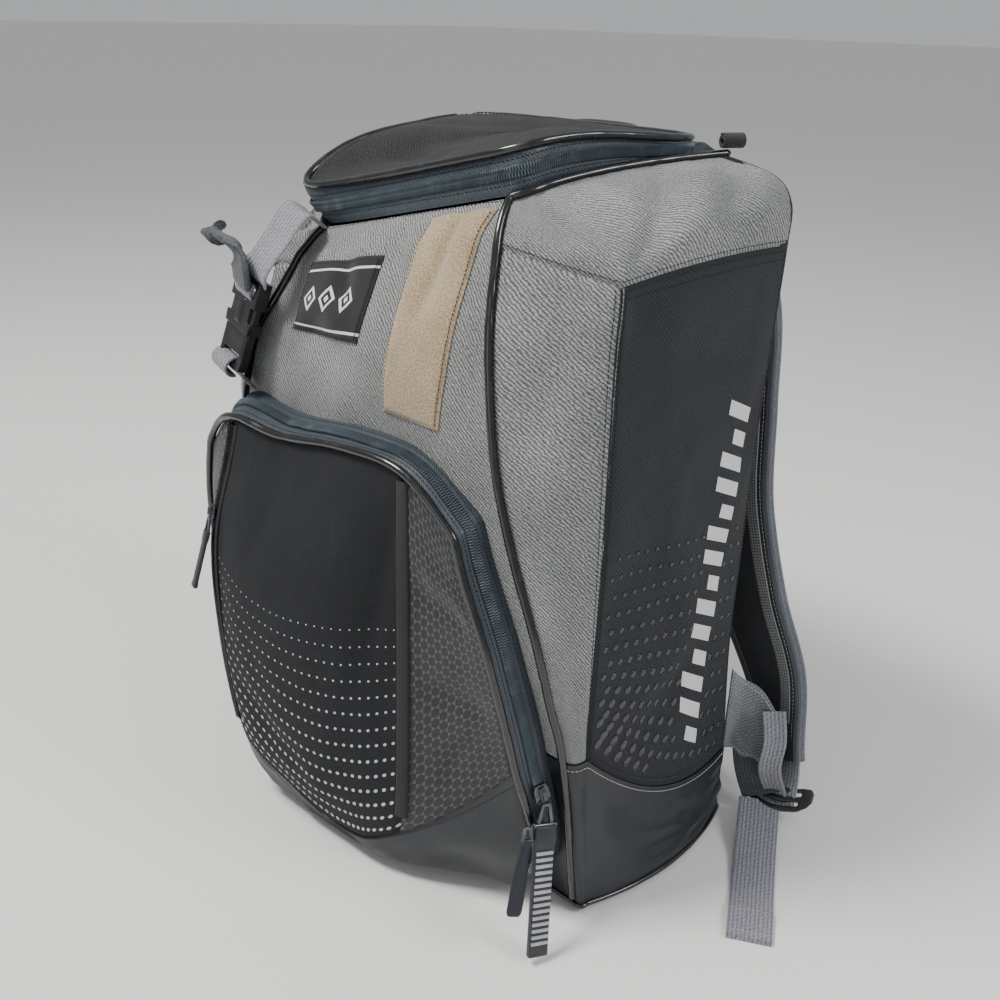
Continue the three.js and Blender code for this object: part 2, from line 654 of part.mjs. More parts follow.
function buildPocketBand() {
  const places = range(0, BAND_STEPS).map((i) => mix(BAND_ENDS, 1 - BAND_ENDS, i / BAND_STEPS));
  const sections = places.map(bandSection);
  const grid = [0, 0.5, 1].map((share) => sections.map(({ root, front }) => root.clone().lerp(front, share)));
  const surface = { grid: grid.reverse(), normals: gridNormals(grid) };
  const all = range(0, BAND_STEPS);
  addSolid('pocket_zip_band', panel(surface, [0, 1, 2], all, CLOTH), FINISH.zipTape);
  const coil = range(1, BAND_STEPS - 1).map((i) => {
    const normal = surface.normals[1][i];
    const tangent = grid[1][i + 1].clone().sub(grid[1][i - 1]);
    const middle = grid[1][i].clone().addScaledVector(normal, COIL_HEIGHT / 2 + 3 * GAP);
    return { middle, across: tangent.cross(normal), face: normal, width: COIL_WIDTH };
  });
  addSolid('pocket_zip_coil', ribbon(coil, COIL_HEIGHT), FINISH.coil);
  return surface;
}

function buildPocketTrim() {
  const rim = range(0, 22).map((i) => {
    const { s, r } = pocketRim(mix(0.05, 0.95, i / 22));
    const point = pocketPoint(s, r);
    const centre = v3(0, -0.3 * POCKET_REACH, 0.4 * POCKET_HEIGHT);
    return point.clone().add(point.clone().sub(centre).setLength(1.6 * PIPE_RADIUS));
  });
  addSolid('pocket_piping', bead(rim, PIPE_RADIUS, 44), FINISH.piping);
  const tape = pocketStrip(SHARE_OF_SEAM.tape, [0.18, 0.985], 9, GAP);
  addSolid('pocket_seam_tape', ribbon(tape, TRIM), FINISH.zipTape);
  const zip = pocketStrip(SHARE_OF_SEAM.zip, [0.22, 0.975], 8, 2 * GAP);
  addSolid('pocket_short_zip', ribbon(zip, COIL_HEIGHT), FINISH.coil);
  return zip;
}

// A narrow strip laid up the pocket along one of its seams.
function pocketStrip(s, ends, width, lift) {
  const count = 12;
  return range(0, count).map((i) => {
    const r = mix(ends[0], ends[1], i / count);
    const step = 0.02;
    const point = pocketPoint(s, r);
    const up = pocketPoint(s, Math.min(1, r + step)).sub(pocketPoint(s, r - step)).normalize();
    const across = pocketPoint(s + step, r).sub(pocketPoint(s - step, r)).normalize();
    const face = across.clone().cross(up).normalize();
    const middle = point.addScaledVector(face, COIL_HEIGHT / 2 + lift + GAP);
    return { middle, across: up.clone().cross(face).negate(), face, width, up };
  });
}

// Zip slider: a short wedge-shaped body with a bail, seated on the coil.
function sliderBlock({ length, width, height }) {
  const side = new THREE.Shape();
  side.moveTo(-length / 2, 0);
  side.lineTo(length / 2, 0);
  side.lineTo(length / 2, height * 0.6);
  side.lineTo(length * 0.15, height);
  side.lineTo(-length * 0.3, height);
  side.lineTo(-length / 2, height * 0.5);
  side.closePath();
  const block = new THREE.ExtrudeGeometry(side, { depth: width, bevelEnabled: false });
  block.translate(0, 0, -width / 2);
  return block;
}

// Sets a piece made along +X with its top towards +Y in a frame of its own.
function seat(mesh, origin, alongAxis, topAxis) {
  const x = alongAxis.clone().normalize();
  const y = topAxis.clone().addScaledVector(x, -topAxis.dot(x)).normalize();
  const z = x.clone().cross(y);
  mesh.matrix.makeBasis(x, y, z).setPosition(origin);
  mesh.matrix.decompose(mesh.position, mesh.quaternion, mesh.scale);
}

function frameWithHole(outline, opening, depth) {
  const toPath = (points, shape) => {
    points.forEach(([x, y], i) => (i === 0 ? shape.moveTo(x, y) : shape.lineTo(x, y)));
    shape.closePath();
    return shape;
  };
  const shape = toPath(outline, new THREE.Shape());
  opening.forEach((hole) => shape.holes.push(toPath(hole, new THREE.Path())));
  const geometry = new THREE.ExtrudeGeometry(shape, { depth, bevelEnabled: false });
  geometry.translate(0, 0, -depth / 2);
  return geometry;
}

const SLIDER = { length: 12, width: 11, height: 7 };
const BAIL = { length: 15, top: 5.5, foot: 12, wire: 2.2, thickness: 2.2 };

function trapezoid(length, top, foot) {
  return [[0, -top / 2], [length, -foot / 2], [length, foot / 2], [0, top / 2]];
}

function bail(size) {
  const { length, top, foot, wire, thickness } = size;
  const inner = trapezoid(length - 2 * wire, top - wire, foot - 2 * wire)
    .map(([x, y]) => [x + wire, y]);
  return frameWithHole(trapezoid(length, top, foot), [inner.reverse()], thickness);
}

// The long ribbed rubber pull: a saw-edged side view, extruded to its width.
function ribbedPull(length) {
  const head = 16;
  const ribs = PULL_RIBS;
  const plain = 7;
  const pitch = (length - head - plain) / ribs;
  const half = PULL_THICKNESS / 2;
  const rib = 0.9;
  const top = [];
  for (let i = 0; i < ribs; i += 1) {
    const x = head + i * pitch;
    top.push([x, half], [x + pitch * 0.2, half + rib]);
    top.push([x + pitch * 0.7, half + rib], [x + pitch * 0.9, half]);
  }
  const outline = [[0, -half * 1.6], [head * 0.8, -half * 1.6], [head, -half], [length, -half]];
  outline.push([length, half], ...top.reverse(), [head * 0.8, half * 1.6], [0, half * 1.6]);
  return frameWithHole(outline, [], PULL_WIDTH);
}

function buildMainPull(band) {
  const column = BAND_STEPS - 4;
  const normal = band.normals[1][column].clone();
  const down = band.grid[1][column + 1].clone().sub(band.grid[1][column]).normalize();
  const base = band.grid[1][column].clone().addScaledVector(normal, COIL_HEIGHT + 4 * GAP);
  const slider = addSolid('pocket_zip_slider', sliderBlock(SLIDER), FINISH.metal);
  seat(slider, base, down, normal);

  const hang = base.clone()
    .addScaledVector(down, SLIDER.length / 2 + 4 * GAP)
    .addScaledVector(normal, SLIDER.height * 0.6);
  const foot = v3(hang.x + 0.13 * HALF_WIDTH, hang.y - 0.36 * HALF_DEPTH, PULL_THICKNESS + 0.5);
  const axis = foot.clone().sub(hang).normalize();
  const face = normal.clone().addScaledVector(axis, -normal.dot(axis)).normalize();
  const frame = addSolid('pocket_pull_bail', bail(BAIL), FINISH.metal);
  const flat = axis.clone().cross(face);
  seat(frame, hang, axis, flat);

  const pullStart = hang.clone().addScaledVector(axis, BAIL.length + GAP);
  const pull = addSolid('pocket_pull', ribbedPull(foot.distanceTo(pullStart)), FINISH.rubber);
  seat(pull, pullStart, axis, face);

  const ringSize = { length: 10, top: 6, foot: 9, wire: 1.8, thickness: 1.8 };
  const ringStart = pullStart.clone().addScaledVector(flat, PULL_WIDTH / 2 + ringSize.foot / 2 + GAP);
  const ring = addSolid('tag_ring', bail(ringSize), FINISH.metal);
  seat(ring, ringStart, axis, flat);
  const tagStart = ringStart.clone().addScaledVector(axis, ringSize.length + 2 * GAP);
  const tagLength = 0.62 * foot.distanceTo(pullStart);
  const tag = frameWithHole(trapezoid(tagLength, 7, 11), [], 2.2);
  const tagMesh = addSolid('leather_tag', tag, FINISH.leather);
  seat(tagMesh, tagStart, axis.clone().addScaledVector(flat, 0.16), flat);
}

function buildShortZipPull(strip) {
  const at = strip[9];
  const down = at.up.clone().negate();
  const base = at.middle.clone().addScaledVector(at.face, COIL_HEIGHT / 2 + GAP);
  const size = { length: 9, width: 8, height: 4.5 };
  const slider = addSolid('short_zip_slider', sliderBlock(size), FINISH.metal);
  seat(slider, base, down, at.face);
  const ringSize = { length: 11, top: 5, foot: 9, wire: 1.8, thickness: 1.8 };
  const start = base.clone()
    .addScaledVector(down, size.length / 2 + GAP)
    .addScaledVector(at.face, size.height * 0.5);
  const ring = addSolid('short_zip_ring', bail(ringSize), FINISH.metal);
  seat(ring, start, down, at.across);
  const pullStart = start.clone().addScaledVector(down, ringSize.length + GAP);
  const pull = frameWithHole(trapezoid(42, 9, 7), [], 3);
  const pullMesh = addSolid('short_zip_pull', pull, FINISH.rubber);
  seat(pullMesh, pullStart, down.clone().addScaledVector(at.face, 0.08), at.across);
}

// Buckle strap at the front left, from under the lid's corner to the top of the pocket.
const BUCKLE = { centre: v3(-0.69 * HALF_WIDTH, -1.54 * HALF_DEPTH, 0.748 * BODY_HEIGHT), length: 62 };

function buckleFrame() {
  const up = v3(0.22, 0.24, 1).normalize();
  const face = v3(-0.12, -0.95, 0.25);
  face.addScaledVector(up, -face.dot(up)).normalize();
  const across = up.clone().cross(face).normalize();
  return { up, face, across };
}

function barredPlate(length, width, slots) {
  const outline = [[0, -width / 2], [length, -width / 2 + 2], [length, width / 2 - 2], [0, width / 2]];
  const holes = slots.map(([from, to], i) => {
    const half = width / 2 - 4 - i * 0.7;
    return [[from, -half], [from, half], [to, half - 0.4], [to, -half + 0.4]];
  });
  return { outline, holes };
}

// Turns a ribbon's end square to the piece it meets, keeping the ribbon's own sense.
function squareTo(station, across, face) {
  const sense = Math.sign(station.across.dot(across)) || 1;
  const turn = Math.sign(station.face.dot(face)) || 1;
  Object.assign(station, {
    across: across.clone().multiplyScalar(sense),
    face: face.clone().multiplyScalar(turn),
  });
}

function buildBuckleStrap() {
  const { up, face, across } = buckleFrame();
  const half = BUCKLE.length / 2;
  const socket = barredPlate(half + 6, BUCKLE_WIDTH, [[half - 4, half + 1]]);
  const socketStart = BUCKLE.centre.clone().addScaledVector(up, GAP);
  const socketBlock = frameWithHole(socket.outline, socket.holes, BUCKLE_THICKNESS);
  const socketMesh = addSolid('buckle_socket', socketBlock, FINISH.plastic);
  seat(socketMesh, socketStart, up, across);
  const plug = barredPlate(half - 4, BUCKLE_WIDTH - 3, [[half - 15, half - 9]]);
  const plugBlock = frameWithHole(plug.outline, plug.holes, BUCKLE_THICKNESS - 3);
  const plugMesh = addSolid('buckle_plug', plugBlock, FINISH.plastic);
  seat(plugMesh, BUCKLE.centre.clone(), up.clone().negate(), across);

  const slotTop = socketStart.clone().addScaledVector(up, half + 6 + GAP);
  const rim = drawn(frontPoint(-0.435 * HALF_WIDTH, SHOULDER_LEVELS[2].pipeZ * BODY_HEIGHT));
  const route = [
    rim.clone().add(v3(-6, -8, 10)),
    rim.clone().add(v3(-12, -24, -2)),
    slotTop.clone().lerp(rim, 0.35).add(v3(-2, -12, 2)),
    slotTop,
  ];
  const strap = ribbonRoute(route, [v3(0.84, 0, -0.54), v3(0.95, 0, -0.32), across.clone()], [25, 25, 25], 9);
  squareTo(strap[strap.length - 1], across, face);
  addSolid('buckle_webbing_upper', ribbon(strap, WEBBING), FINISH.webbing);

  const tailStart = slotTop.clone().addScaledVector(face, BUCKLE_THICKNESS / 2 + WEBBING + 5 * GAP);
  const tailRoute = [
    tailStart,
    tailStart.clone().add(v3(-10, -3, 13)),
    tailStart.clone().add(v3(-26, 0, 22)),
  ];
  const tail = ribbonRoute(tailRoute, [across, across, across], [24, 24, 22], 6);
  squareTo(tail[0], across, face);
  addSolid('buckle_webbing_tail', ribbon(tail, 2 * WEBBING), FINISH.webbing);

  const plugEnd = BUCKLE.centre.clone().addScaledVector(up, 4 - half - GAP);
  const lowAnchor = drawn(frontPoint(-0.63 * HALF_WIDTH, 0.66 * BODY_HEIGHT));
  lowAnchor.y -= 2.7 * PIPE_RADIUS;
  const lowRoute = [plugEnd, plugEnd.clone().lerp(lowAnchor, 0.5).addScaledVector(face, 3), lowAnchor];
  const low = ribbonRoute(lowRoute, [across, across, across], [24, 24, 24], 5);
  squareTo(low[0], across, face);
  addSolid('buckle_webbing_lower', ribbon(low, WEBBING), FINISH.webbing);
}

// Shoulder straps behind the pack. Each lies down and outwards to its ladder lock near the
// floor, where a wing of webbing from the bag and a free tail meet it.
const STRAP_ROUTE = table(['x', 'y', 'z', 'width'], [
  [0.40, 1.190, 0.950, 0.94],
  [0.42, 1.42, 0.952, 0.94],
  [0.52, 1.72, 0.905, 1.00],
  [0.66, 1.80, 0.790, 1.00],
  [0.71, 1.79, 0.640, 1.00],
  [0.76, 1.77, 0.480, 1.00],
  [0.90, 1.76, 0.330, 0.98],
  [1.08, 1.73, 0.210, 0.90],
  [1.23, 1.60, 0.085, 0.52],
]);
const LOCK_CENTRE = { x: 1.27, y: 1.29, z: 0.042 };
const TAIL_END = { x: 1.585, y: -0.23 };
const WEB_STEPS = 12;

function strapPlace(share, side) {
  return v3(side * share.x * HALF_WIDTH, share.y * HALF_DEPTH, share.z * BODY_HEIGHT);
}

// A padded section: flat faces with rounded edges.
function padRing({ middle, across, face, width }, thickness) {
  const below = [[-1, -0.25], [-0.86, -0.5], [0.86, -0.5], [1, -0.25]];
  const corners = [...below, ...below.map(([u, w]) => [-u, -w])];
  return corners.map(([u, w]) => middle.clone()
    .addScaledVector(across, (u * width) / 2)
    .addScaledVector(face, w * thickness));
}

function buildStrap(name, side) {
  const route = STRAP_ROUTE.map((row) => strapPlace(row, side));
  const widths = STRAP_ROUTE.map((row) => row.width * PAD_WIDTH);
  const straight = v3(1, 0, 0.05 * side);
  const turned = v3(0.9, -0.25 * side, 0.28 * side);
  const stations = ribbonRoute(route, [straight, straight, straight, turned], widths, 18);
  Object.assign(stations[0], { across: v3(1, 0, 0), face: v3(0, 0, 1) });
  addSolid(`${name}_strap_pad`, loft(stations.map((s) => padRing(s, PAD_THICKNESS))), FINISH.strap);

  const end = stations[stations.length - 1];
  const lock = strapPlace(LOCK_CENTRE, side);
  const drop = lock.clone().sub(end.middle).normalize();
  const across = v3(0.88 * side, 0.05, 0.42);
  across.addScaledVector(drop, -across.dot(drop)).normalize();
  const lockShape = barredPlate(LOCK_HEIGHT, LOCK_WIDTH, [[3.5, 8], [12.5, 17]]);
  const lockBlock = frameWithHole(lockShape.outline, lockShape.holes, LOCK_THICKNESS);
  const lockMesh = addSolid(`${name}_ladder_lock`, lockBlock, FINISH.plastic);
  const lockTop = lock.clone().addScaledVector(drop, -LOCK_HEIGHT / 2);
  seat(lockMesh, lockTop, drop, across);

  const webStart = end.middle.clone().addScaledVector(end.tangent, GAP + WEBBING / 2);
  const webEnd = lockTop.clone().addScaledVector(drop, -GAP);
  const turn = Math.sign(end.across.dot(across));
  const webRoute = [webStart, webStart.clone().lerp(webEnd, 0.5), webEnd];
  const webTurn = [end.across, across.clone().multiplyScalar(turn)];
  const web = ribbonRoute(webRoute, webTurn, [STRAP_WEB_WIDTH, STRAP_WEB_WIDTH], WEB_STEPS);
  const lockNormal = drop.clone().cross(across).multiplyScalar(turn);
  const seam = end.middle.clone().addScaledVector(end.tangent, GAP);
  Object.assign(web[0], { middle: seam, across: end.across, face: end.face });
  Object.assign(web[web.length - 1], { across: across.clone().multiplyScalar(turn), face: lockNormal });
  addSolid(`${name}_strap_webbing`, ribbon(web, WEBBING), FINISH.webbing);
  return { lock, drop, across };
}

function buildWingAndTail(name, side, { lock, drop, across }) {
  const seamX = side * (1.038 * HALF_WIDTH + WEBBING);
  const seamY = 1.05 * HALF_DEPTH;
  const seam = [v3(seamX, seamY, 0.125 * BODY_HEIGHT), v3(seamX, seamY, 0.248 * BODY_HEIGHT)];
  const lockFace = drop.clone().cross(across);
  lockFace.multiplyScalar(Math.sign(lockFace.x * side) || 1);
  const bar = [-0.36, 0.36].map((share) => lock.clone()
    .addScaledVector(across, share * LOCK_WIDTH)
    .addScaledVector(drop, -0.1 * LOCK_HEIGHT)
    .addScaledVector(lockFace, -(LOCK_THICKNESS + WEBBING) / 2 - GAP / 2));
  if (bar[0].z > bar[1].z) bar.reverse();
  const steps = range(0, 5).map((i) => i / 5);
  const edges = seam.map((from, k) => steps.map((t) => {
    const point = from.clone().lerp(bar[k], t);
    return point.add(v3(0, 7 * Math.sin(Math.PI * t), 0));
  }));
  const wing = steps.map((_, i) => {
    const low = edges[0][i];
    const high = edges[1][i];
    const direction = (edges[0][Math.min(i + 1, 5)]).clone().sub(edges[0][Math.max(i - 1, 0)]);
    const up = high.clone().sub(low);
    const face = direction.cross(up).normalize();
    return { middle: low.clone().lerp(high, 0.5), across: up, face, width: up.length() };
  });
  addSolid(`${name}_wing_webbing`, ribbon(wing, WEBBING), FINISH.webbing);

  const start = lock.clone()
    .addScaledVector(drop, LOCK_HEIGHT / 2 + 5 * GAP)
    .addScaledVector(across, -0.16 * LOCK_WIDTH);
  const floorLift = WEBBING / 2 + GAP;
  start.z = Math.max(start.z, floorLift + 3);
  const end = v3(side * TAIL_END.x * HALF_WIDTH, TAIL_END.y * HALF_DEPTH, floorLift);
  const flat = v3(0.86, 0.5 * side, 0);
  const route = [0, 0.25, 0.6, 1].map((t) => {
    const z = mix(start.z, floorLift, smooth(0, 0.5, t));
    return start.clone().lerp(end, t).setZ(z);
  });
  const tail = ribbonRoute(route, [flat, flat], [TAIL_WIDTH, TAIL_WIDTH], 9);
  tail.forEach(({ middle }) => middle.setZ(Math.max(middle.z, floorLift)));
  addSolid(`${name}_webbing_tail`, ribbon(tail, WEBBING), FINISH.webbing);
}

function buildHaulLoop() {
  const y = 1.24 * HALF_DEPTH;
  const z = 0.985 * BODY_HEIGHT;
  const reach = 0.26 * HALF_WIDTH;
  const half = [v3(-reach, y, z), v3(-reach * 0.7, y + 17, z + 8)];
  const mirrored = half.map((p) => v3(-p.x, p.y, p.z)).reverse();
  const route = [...half, v3(0, y + 24, z + 10), ...mirrored];
  const loop = ribbonRoute(route, [v3(0, 0.3, 1), v3(0, 0.3, 1)], [20, 20], 12);
  addSolid('haul_loop', ribbon(loop, 3), FINISH.webbing);
}

buildBase();
buildBodyPanels();
buildBodyPiping();
const lid = buildLid();
buildZipEnd(lid);
buildFrontTrim();
buildPocketPanels();
const band = buildPocketBand();
const shortZip = buildPocketTrim();
buildMainPull(band);
buildShortZipPull(shortZip);
buildBuckleStrap();
for (const [name, side] of [['right', 1], ['left', -1]]) {
  buildWingAndTail(name, side, buildStrap(name, side));
}
buildHaulLoop();

export default pack;
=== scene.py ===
"""Ball player's backpack: cloth, trim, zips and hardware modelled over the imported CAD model.

Shapes are worked out in millimetres from the same tables as the CAD source, in the row frame
(+Z up, front towards -Y), and written to meshes in metres.
"""

import logging
import math
from collections.abc import Callable, Iterable, Sequence
from dataclasses import dataclass, field, replace
from enum import Enum

import bmesh
import bpy
import numpy as np
from mathutils import Matrix, Vector


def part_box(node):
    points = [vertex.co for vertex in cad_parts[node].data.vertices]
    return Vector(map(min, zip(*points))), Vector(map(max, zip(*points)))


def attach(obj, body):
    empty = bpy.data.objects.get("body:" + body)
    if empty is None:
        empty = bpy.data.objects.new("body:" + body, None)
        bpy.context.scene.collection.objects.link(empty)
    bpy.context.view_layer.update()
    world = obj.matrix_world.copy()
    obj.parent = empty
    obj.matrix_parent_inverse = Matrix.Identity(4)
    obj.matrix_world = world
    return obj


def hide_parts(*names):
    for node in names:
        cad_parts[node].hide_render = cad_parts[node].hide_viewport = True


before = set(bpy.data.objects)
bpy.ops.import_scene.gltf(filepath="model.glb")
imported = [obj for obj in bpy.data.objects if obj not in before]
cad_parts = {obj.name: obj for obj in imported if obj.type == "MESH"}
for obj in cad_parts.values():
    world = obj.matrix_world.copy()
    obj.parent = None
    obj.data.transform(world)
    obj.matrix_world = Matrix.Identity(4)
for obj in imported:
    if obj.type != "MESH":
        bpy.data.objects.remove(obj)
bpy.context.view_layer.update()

MM = 0.001
LOG = logging.getLogger("backpack")
Array = np.ndarray
Color = tuple[float, float, float]


# ---------------------------------------------------------------- lines and surfaces


def smooth(low: float, high: float, x: Array) -> Array:
    """Smooth step from 0 at low to 1 at high."""
    t = np.clip((np.asarray(x, float) - low) / (high - low), 0.0, 1.0)
    return t * t * (3.0 - 2.0 * t)


def mix(a: Array, b: Array, t: Array) -> Array:
    """Value between a and b at share t."""
    return a + (b - a) * t


def unit(vectors: Array) -> Array:
    """Vectors scaled to length one."""
    vectors = np.asarray(vectors, float)
    size = np.linalg.norm(vectors, axis=-1, keepdims=True)
    return vectors / np.maximum(size, 1e-9)


def spline(values: Sequence, t: Array) -> Array:
    """Smooth line through evenly spaced values.

    Args:
        values: Numbers or rows of numbers that the line passes.
        t: Places on the line, from 0 to 1.

    Returns:
        The line's value at each place.
    """
    rows = np.asarray(values, float)
    last = len(rows) - 1
    slot = np.clip(np.asarray(t, float), 0.0, 1.0) * last
    k = np.minimum(slot.astype(int), last - 1)
    w = slot - k
    if rows.ndim > 1:
        w = w[..., None]
    a, b = rows[np.maximum(k - 1, 0)], rows[k]
    c, d = rows[k + 1], rows[np.minimum(k + 2, last)]
    return b + 0.5 * w * ((c - a) + w * ((2 * a - 5 * b + 4 * c - d) + w * (3 * (b - c) + d - a)))


def through(points: Sequence, count: int) -> Array:
    """Places along a centripetal Catmull-Rom line, as the CAD's routes have.

    Args:
        points: Points in millimetres that the line passes.
        count: Number of steps.

    Returns:
        count + 1 places, from the first point to the last.
    """
    p = np.asarray(points, float)
    p = np.vstack([2 * p[0] - p[1], p, 2 * p[-1] - p[-2]])
    places = []
    for t in np.linspace(0.0, len(p) - 3.0, count + 1):
        k = min(int(t), len(p) - 4)
        a, b, c, d = p[k : k + 4]
        gaps = [max(np.linalg.norm(q - r), 1e-6) ** 0.5 for q, r in ((a, b), (b, c), (c, d))]
        start = (b - a) / gaps[0] - (c - a) / (gaps[0] + gaps[1]) + (c - b) / gaps[1]
        end = (c - b) / gaps[1] - (d - b) / (gaps[1] + gaps[2]) + (d - c) / gaps[2]
        start, end, w = start * gaps[1], end * gaps[1], t - k
        cubic = 2 * b - 2 * c + start + end
        square = -3 * b + 3 * c - 2 * start - end
        places.append(b + w * (start + w * (square + w * cubic)))
    return np.array(places)


def distances(line: Array) -> Array:
    """Length along a line of points up to each point."""
    return np.concatenate([[0.0], np.cumsum(np.linalg.norm(np.diff(line, axis=0), axis=1))])


def resample(line: Array, spacing: float, *others: Array) -> list[Array]:
    """Places at even spacing along a line, and the values of other rows there.

    Args:
        line: Points of the line.
        spacing: Distance between the new places.
        others: Rows of vectors that belong to the line's points.

    Returns:
        The new places and each of the others at them.
    """
    length = distances(line)
    at = np.linspace(0.0, length[-1], max(2, round(length[-1] / spacing) + 1))
    rows = (line, *others)
    return [np.stack([np.interp(at, length, row[:, k]) for k in range(3)], axis=1) for row in rows]


def noise(x: Array, y: Array, seed: int) -> Array:
    """Smooth value noise from -1 to 1, the same at each run.

    Args:
        x: Places across, in cells.
        y: Places up, in cells.
        seed: Number of the pattern.

    Returns:
        The noise at each place.
    """
    cells = np.random.default_rng(seed).uniform(-1.0, 1.0, (64, 64))
    i, j = np.floor(x).astype(int), np.floor(y).astype(int)
    u, v = (w * w * w * (w * (6 * w - 15) + 10) for w in (x - i, y - j))
    corner = [[cells[(i + a) % 64, (j + b) % 64] for b in (0, 1)] for a in (0, 1)]
    low = mix(corner[0][0], corner[1][0], u)
    return mix(low, mix(corner[0][1], corner[1][1], u), v)


def normals_of(grid: Array, wrap: bool = False) -> Array:
    """Outward normals of a grid of rows (upwards) and columns (anticlockwise from above).

    Args:
        grid: Points, as rows, columns and 3.
        wrap: True where the last column meets the first.

    Returns:
        A unit vector for each point.
    """
    if wrap:
        across = np.roll(grid, -1, 1) - np.roll(grid, 1, 1)
    else:
        across = np.gradient(grid, axis=1)
    return unit(np.cross(across, np.gradient(grid, axis=0)))


def flat_layout(grid: Array, wrap: bool = False) -> Array:
    """Lays a grid out flat, with each column and row at its mean distance.

    Args:
        grid: Points, as rows, columns and 3.
        wrap: True to add the first column again at the end.

    Returns:
        Flat places in millimetres, as rows, columns and 2.
    """
    if wrap:
        grid = np.concatenate([grid, grid[:, :1]], axis=1)
    across = np.linalg.norm(np.diff(grid, axis=1), axis=2).mean(axis=0)
    up = np.linalg.norm(np.diff(grid, axis=0), axis=2).mean(axis=1)
    x = np.concatenate([[0.0], np.cumsum(across)])
    y = np.concatenate([[0.0], np.cumsum(up)])
    return np.stack(np.meshgrid(x, y), axis=2)


def spread(length: float, spacing: float) -> Array:
    """Shares of a length, close together near both ends where a seam turns in.

    Args:
        length: Length in millimetres.
        spacing: Distance between places away from the ends.

    Returns:
        Shares from 0 to 1.
    """
    edge = np.array([0.0, 0.6, 1.3, 2.3, 3.8])
    inner = np.linspace(5.8, length - 5.8, max(2, int((length - 11.6) / spacing) + 1))
    return np.concatenate([edge, inner, (length - edge)[::-1]]) / length


# ---------------------------------------------------------------- meshes


def make_piece(name: str, points: Array, faces: Sequence, flat: Array, crease: float = 50.0):
    """Makes a mesh object from points in millimetres.

    Args:
        name: Name of the piece.
        points: Its points.
        faces: Point numbers of each face.
        flat: Flat place in millimetres of each corner of each face, in order.
        crease: Angle in degrees from which an edge stays sharp.

    Returns:
        The object, at the origin.
    """
    mesh = bpy.data.meshes.new(name)
    mesh.from_pydata((np.asarray(points) * MM).tolist(), [], faces)
    layer = mesh.uv_layers.new(name="cloth")
    layer.data.foreach_set("uv", (np.asarray(flat) * MM).astype(np.float32).ravel())
    mesh.shade_smooth()
    mesh.set_sharp_from_angle(angle=math.radians(crease))
    work = bmesh.new()
    work.from_mesh(mesh)
    if work.calc_volume(signed=True) < 0:
        mesh.flip_normals()
    work.free()
    piece = bpy.data.objects.new(name, mesh)
    bpy.context.scene.collection.objects.link(piece)
    return piece


def grid_faces(rows: int, columns: int, wrap: bool = False) -> Array:
    """Quads of a grid whose points are numbered row by row."""
    r, c = np.meshgrid(np.arange(rows - 1), np.arange(columns if wrap else columns - 1), indexing="ij")
    a = r * columns + c
    b = r * columns + (c + 1) % columns
    return np.stack([a, b, b + columns, a + columns], axis=2).reshape(-1, 4)


def wall(name: str, outer: Array, inner: Array, flat: Array):
    """A closed wall between an outer and an inner grid.

    Args:
        name: Name of the piece.
        outer: Outer points, as rows, columns and 3.
        inner: Inner points, of the same number.
        flat: Flat places of the outer points.

    Returns:
        The object.
    """
    rows, columns = outer.shape[:2]
    front = grid_faces(rows, columns)
    shift = rows * columns
    back = front[:, ::-1] + shift
    top, right = (rows - 1) * columns, columns - 1
    rim = [np.arange(columns), np.arange(1, rows) * columns + right]
    rim += [top + np.arange(columns - 2, -1, -1), np.arange(rows - 2, 0, -1) * columns]
    rim = np.concatenate(rim)
    after = np.roll(rim, -1)
    edge = np.stack([after, rim, rim + shift, after + shift], axis=1)
    faces = np.concatenate([front, back, edge])
    points = np.concatenate([outer.reshape(-1, 3), inner.reshape(-1, 3)])
    places = np.concatenate([flat.reshape(-1, 2)] * 2)
    return make_piece(name, points, faces.tolist(), places[faces.ravel()])


def loft(name: str, rings: Array, flat: Array | None = None, crease: float = 50.0):
    """A solid through rings of as many points each, closed by a fan at each end.

    Args:
        name: Name of the piece.
        rings: Points, as rings, points and 3, anticlockwise seen from ahead of the rings.
        flat: Flat places, with the first column again at the end.
        crease: Angle in degrees from which an edge stays sharp.

    Returns:
        The object.
    """
    count, columns = rings.shape[:2]
    if flat is None:
        flat = flat_layout(rings, wrap=True)
    faces = grid_faces(count, columns, wrap=True)
    r, c = np.meshgrid(np.arange(count - 1), np.arange(columns), indexing="ij")
    corners = [flat[r, c], flat[r, c + 1], flat[r + 1, c + 1], flat[r + 1, c]]
    places = [np.stack(corners, axis=2).reshape(-1, 2)]
    points = [rings.reshape(-1, 3), rings[0].mean(axis=0)[None], rings[-1].mean(axis=0)[None]]
    shift = (count - 1) * columns
    i = np.arange(columns)
    j = (i + 1) % columns
    total = count * columns
    start = np.stack([j, i, np.full(columns, total)], axis=1)
    end = np.stack([shift + i, shift + j, np.full(columns, total + 1)], axis=1)
    for ring, fan in ((0, (i + 1, i)), (count - 1, (i, i + 1))):
        middle = np.broadcast_to(flat[ring, :-1].mean(axis=0), (columns, 2))
        places.append(np.stack([flat[ring, fan[0]], flat[ring, fan[1]], middle], axis=1).reshape(-1, 2))
    lists = faces.tolist() + start.tolist() + end.tolist()
    return make_piece(name, np.concatenate(points), lists, np.concatenate(places), crease)


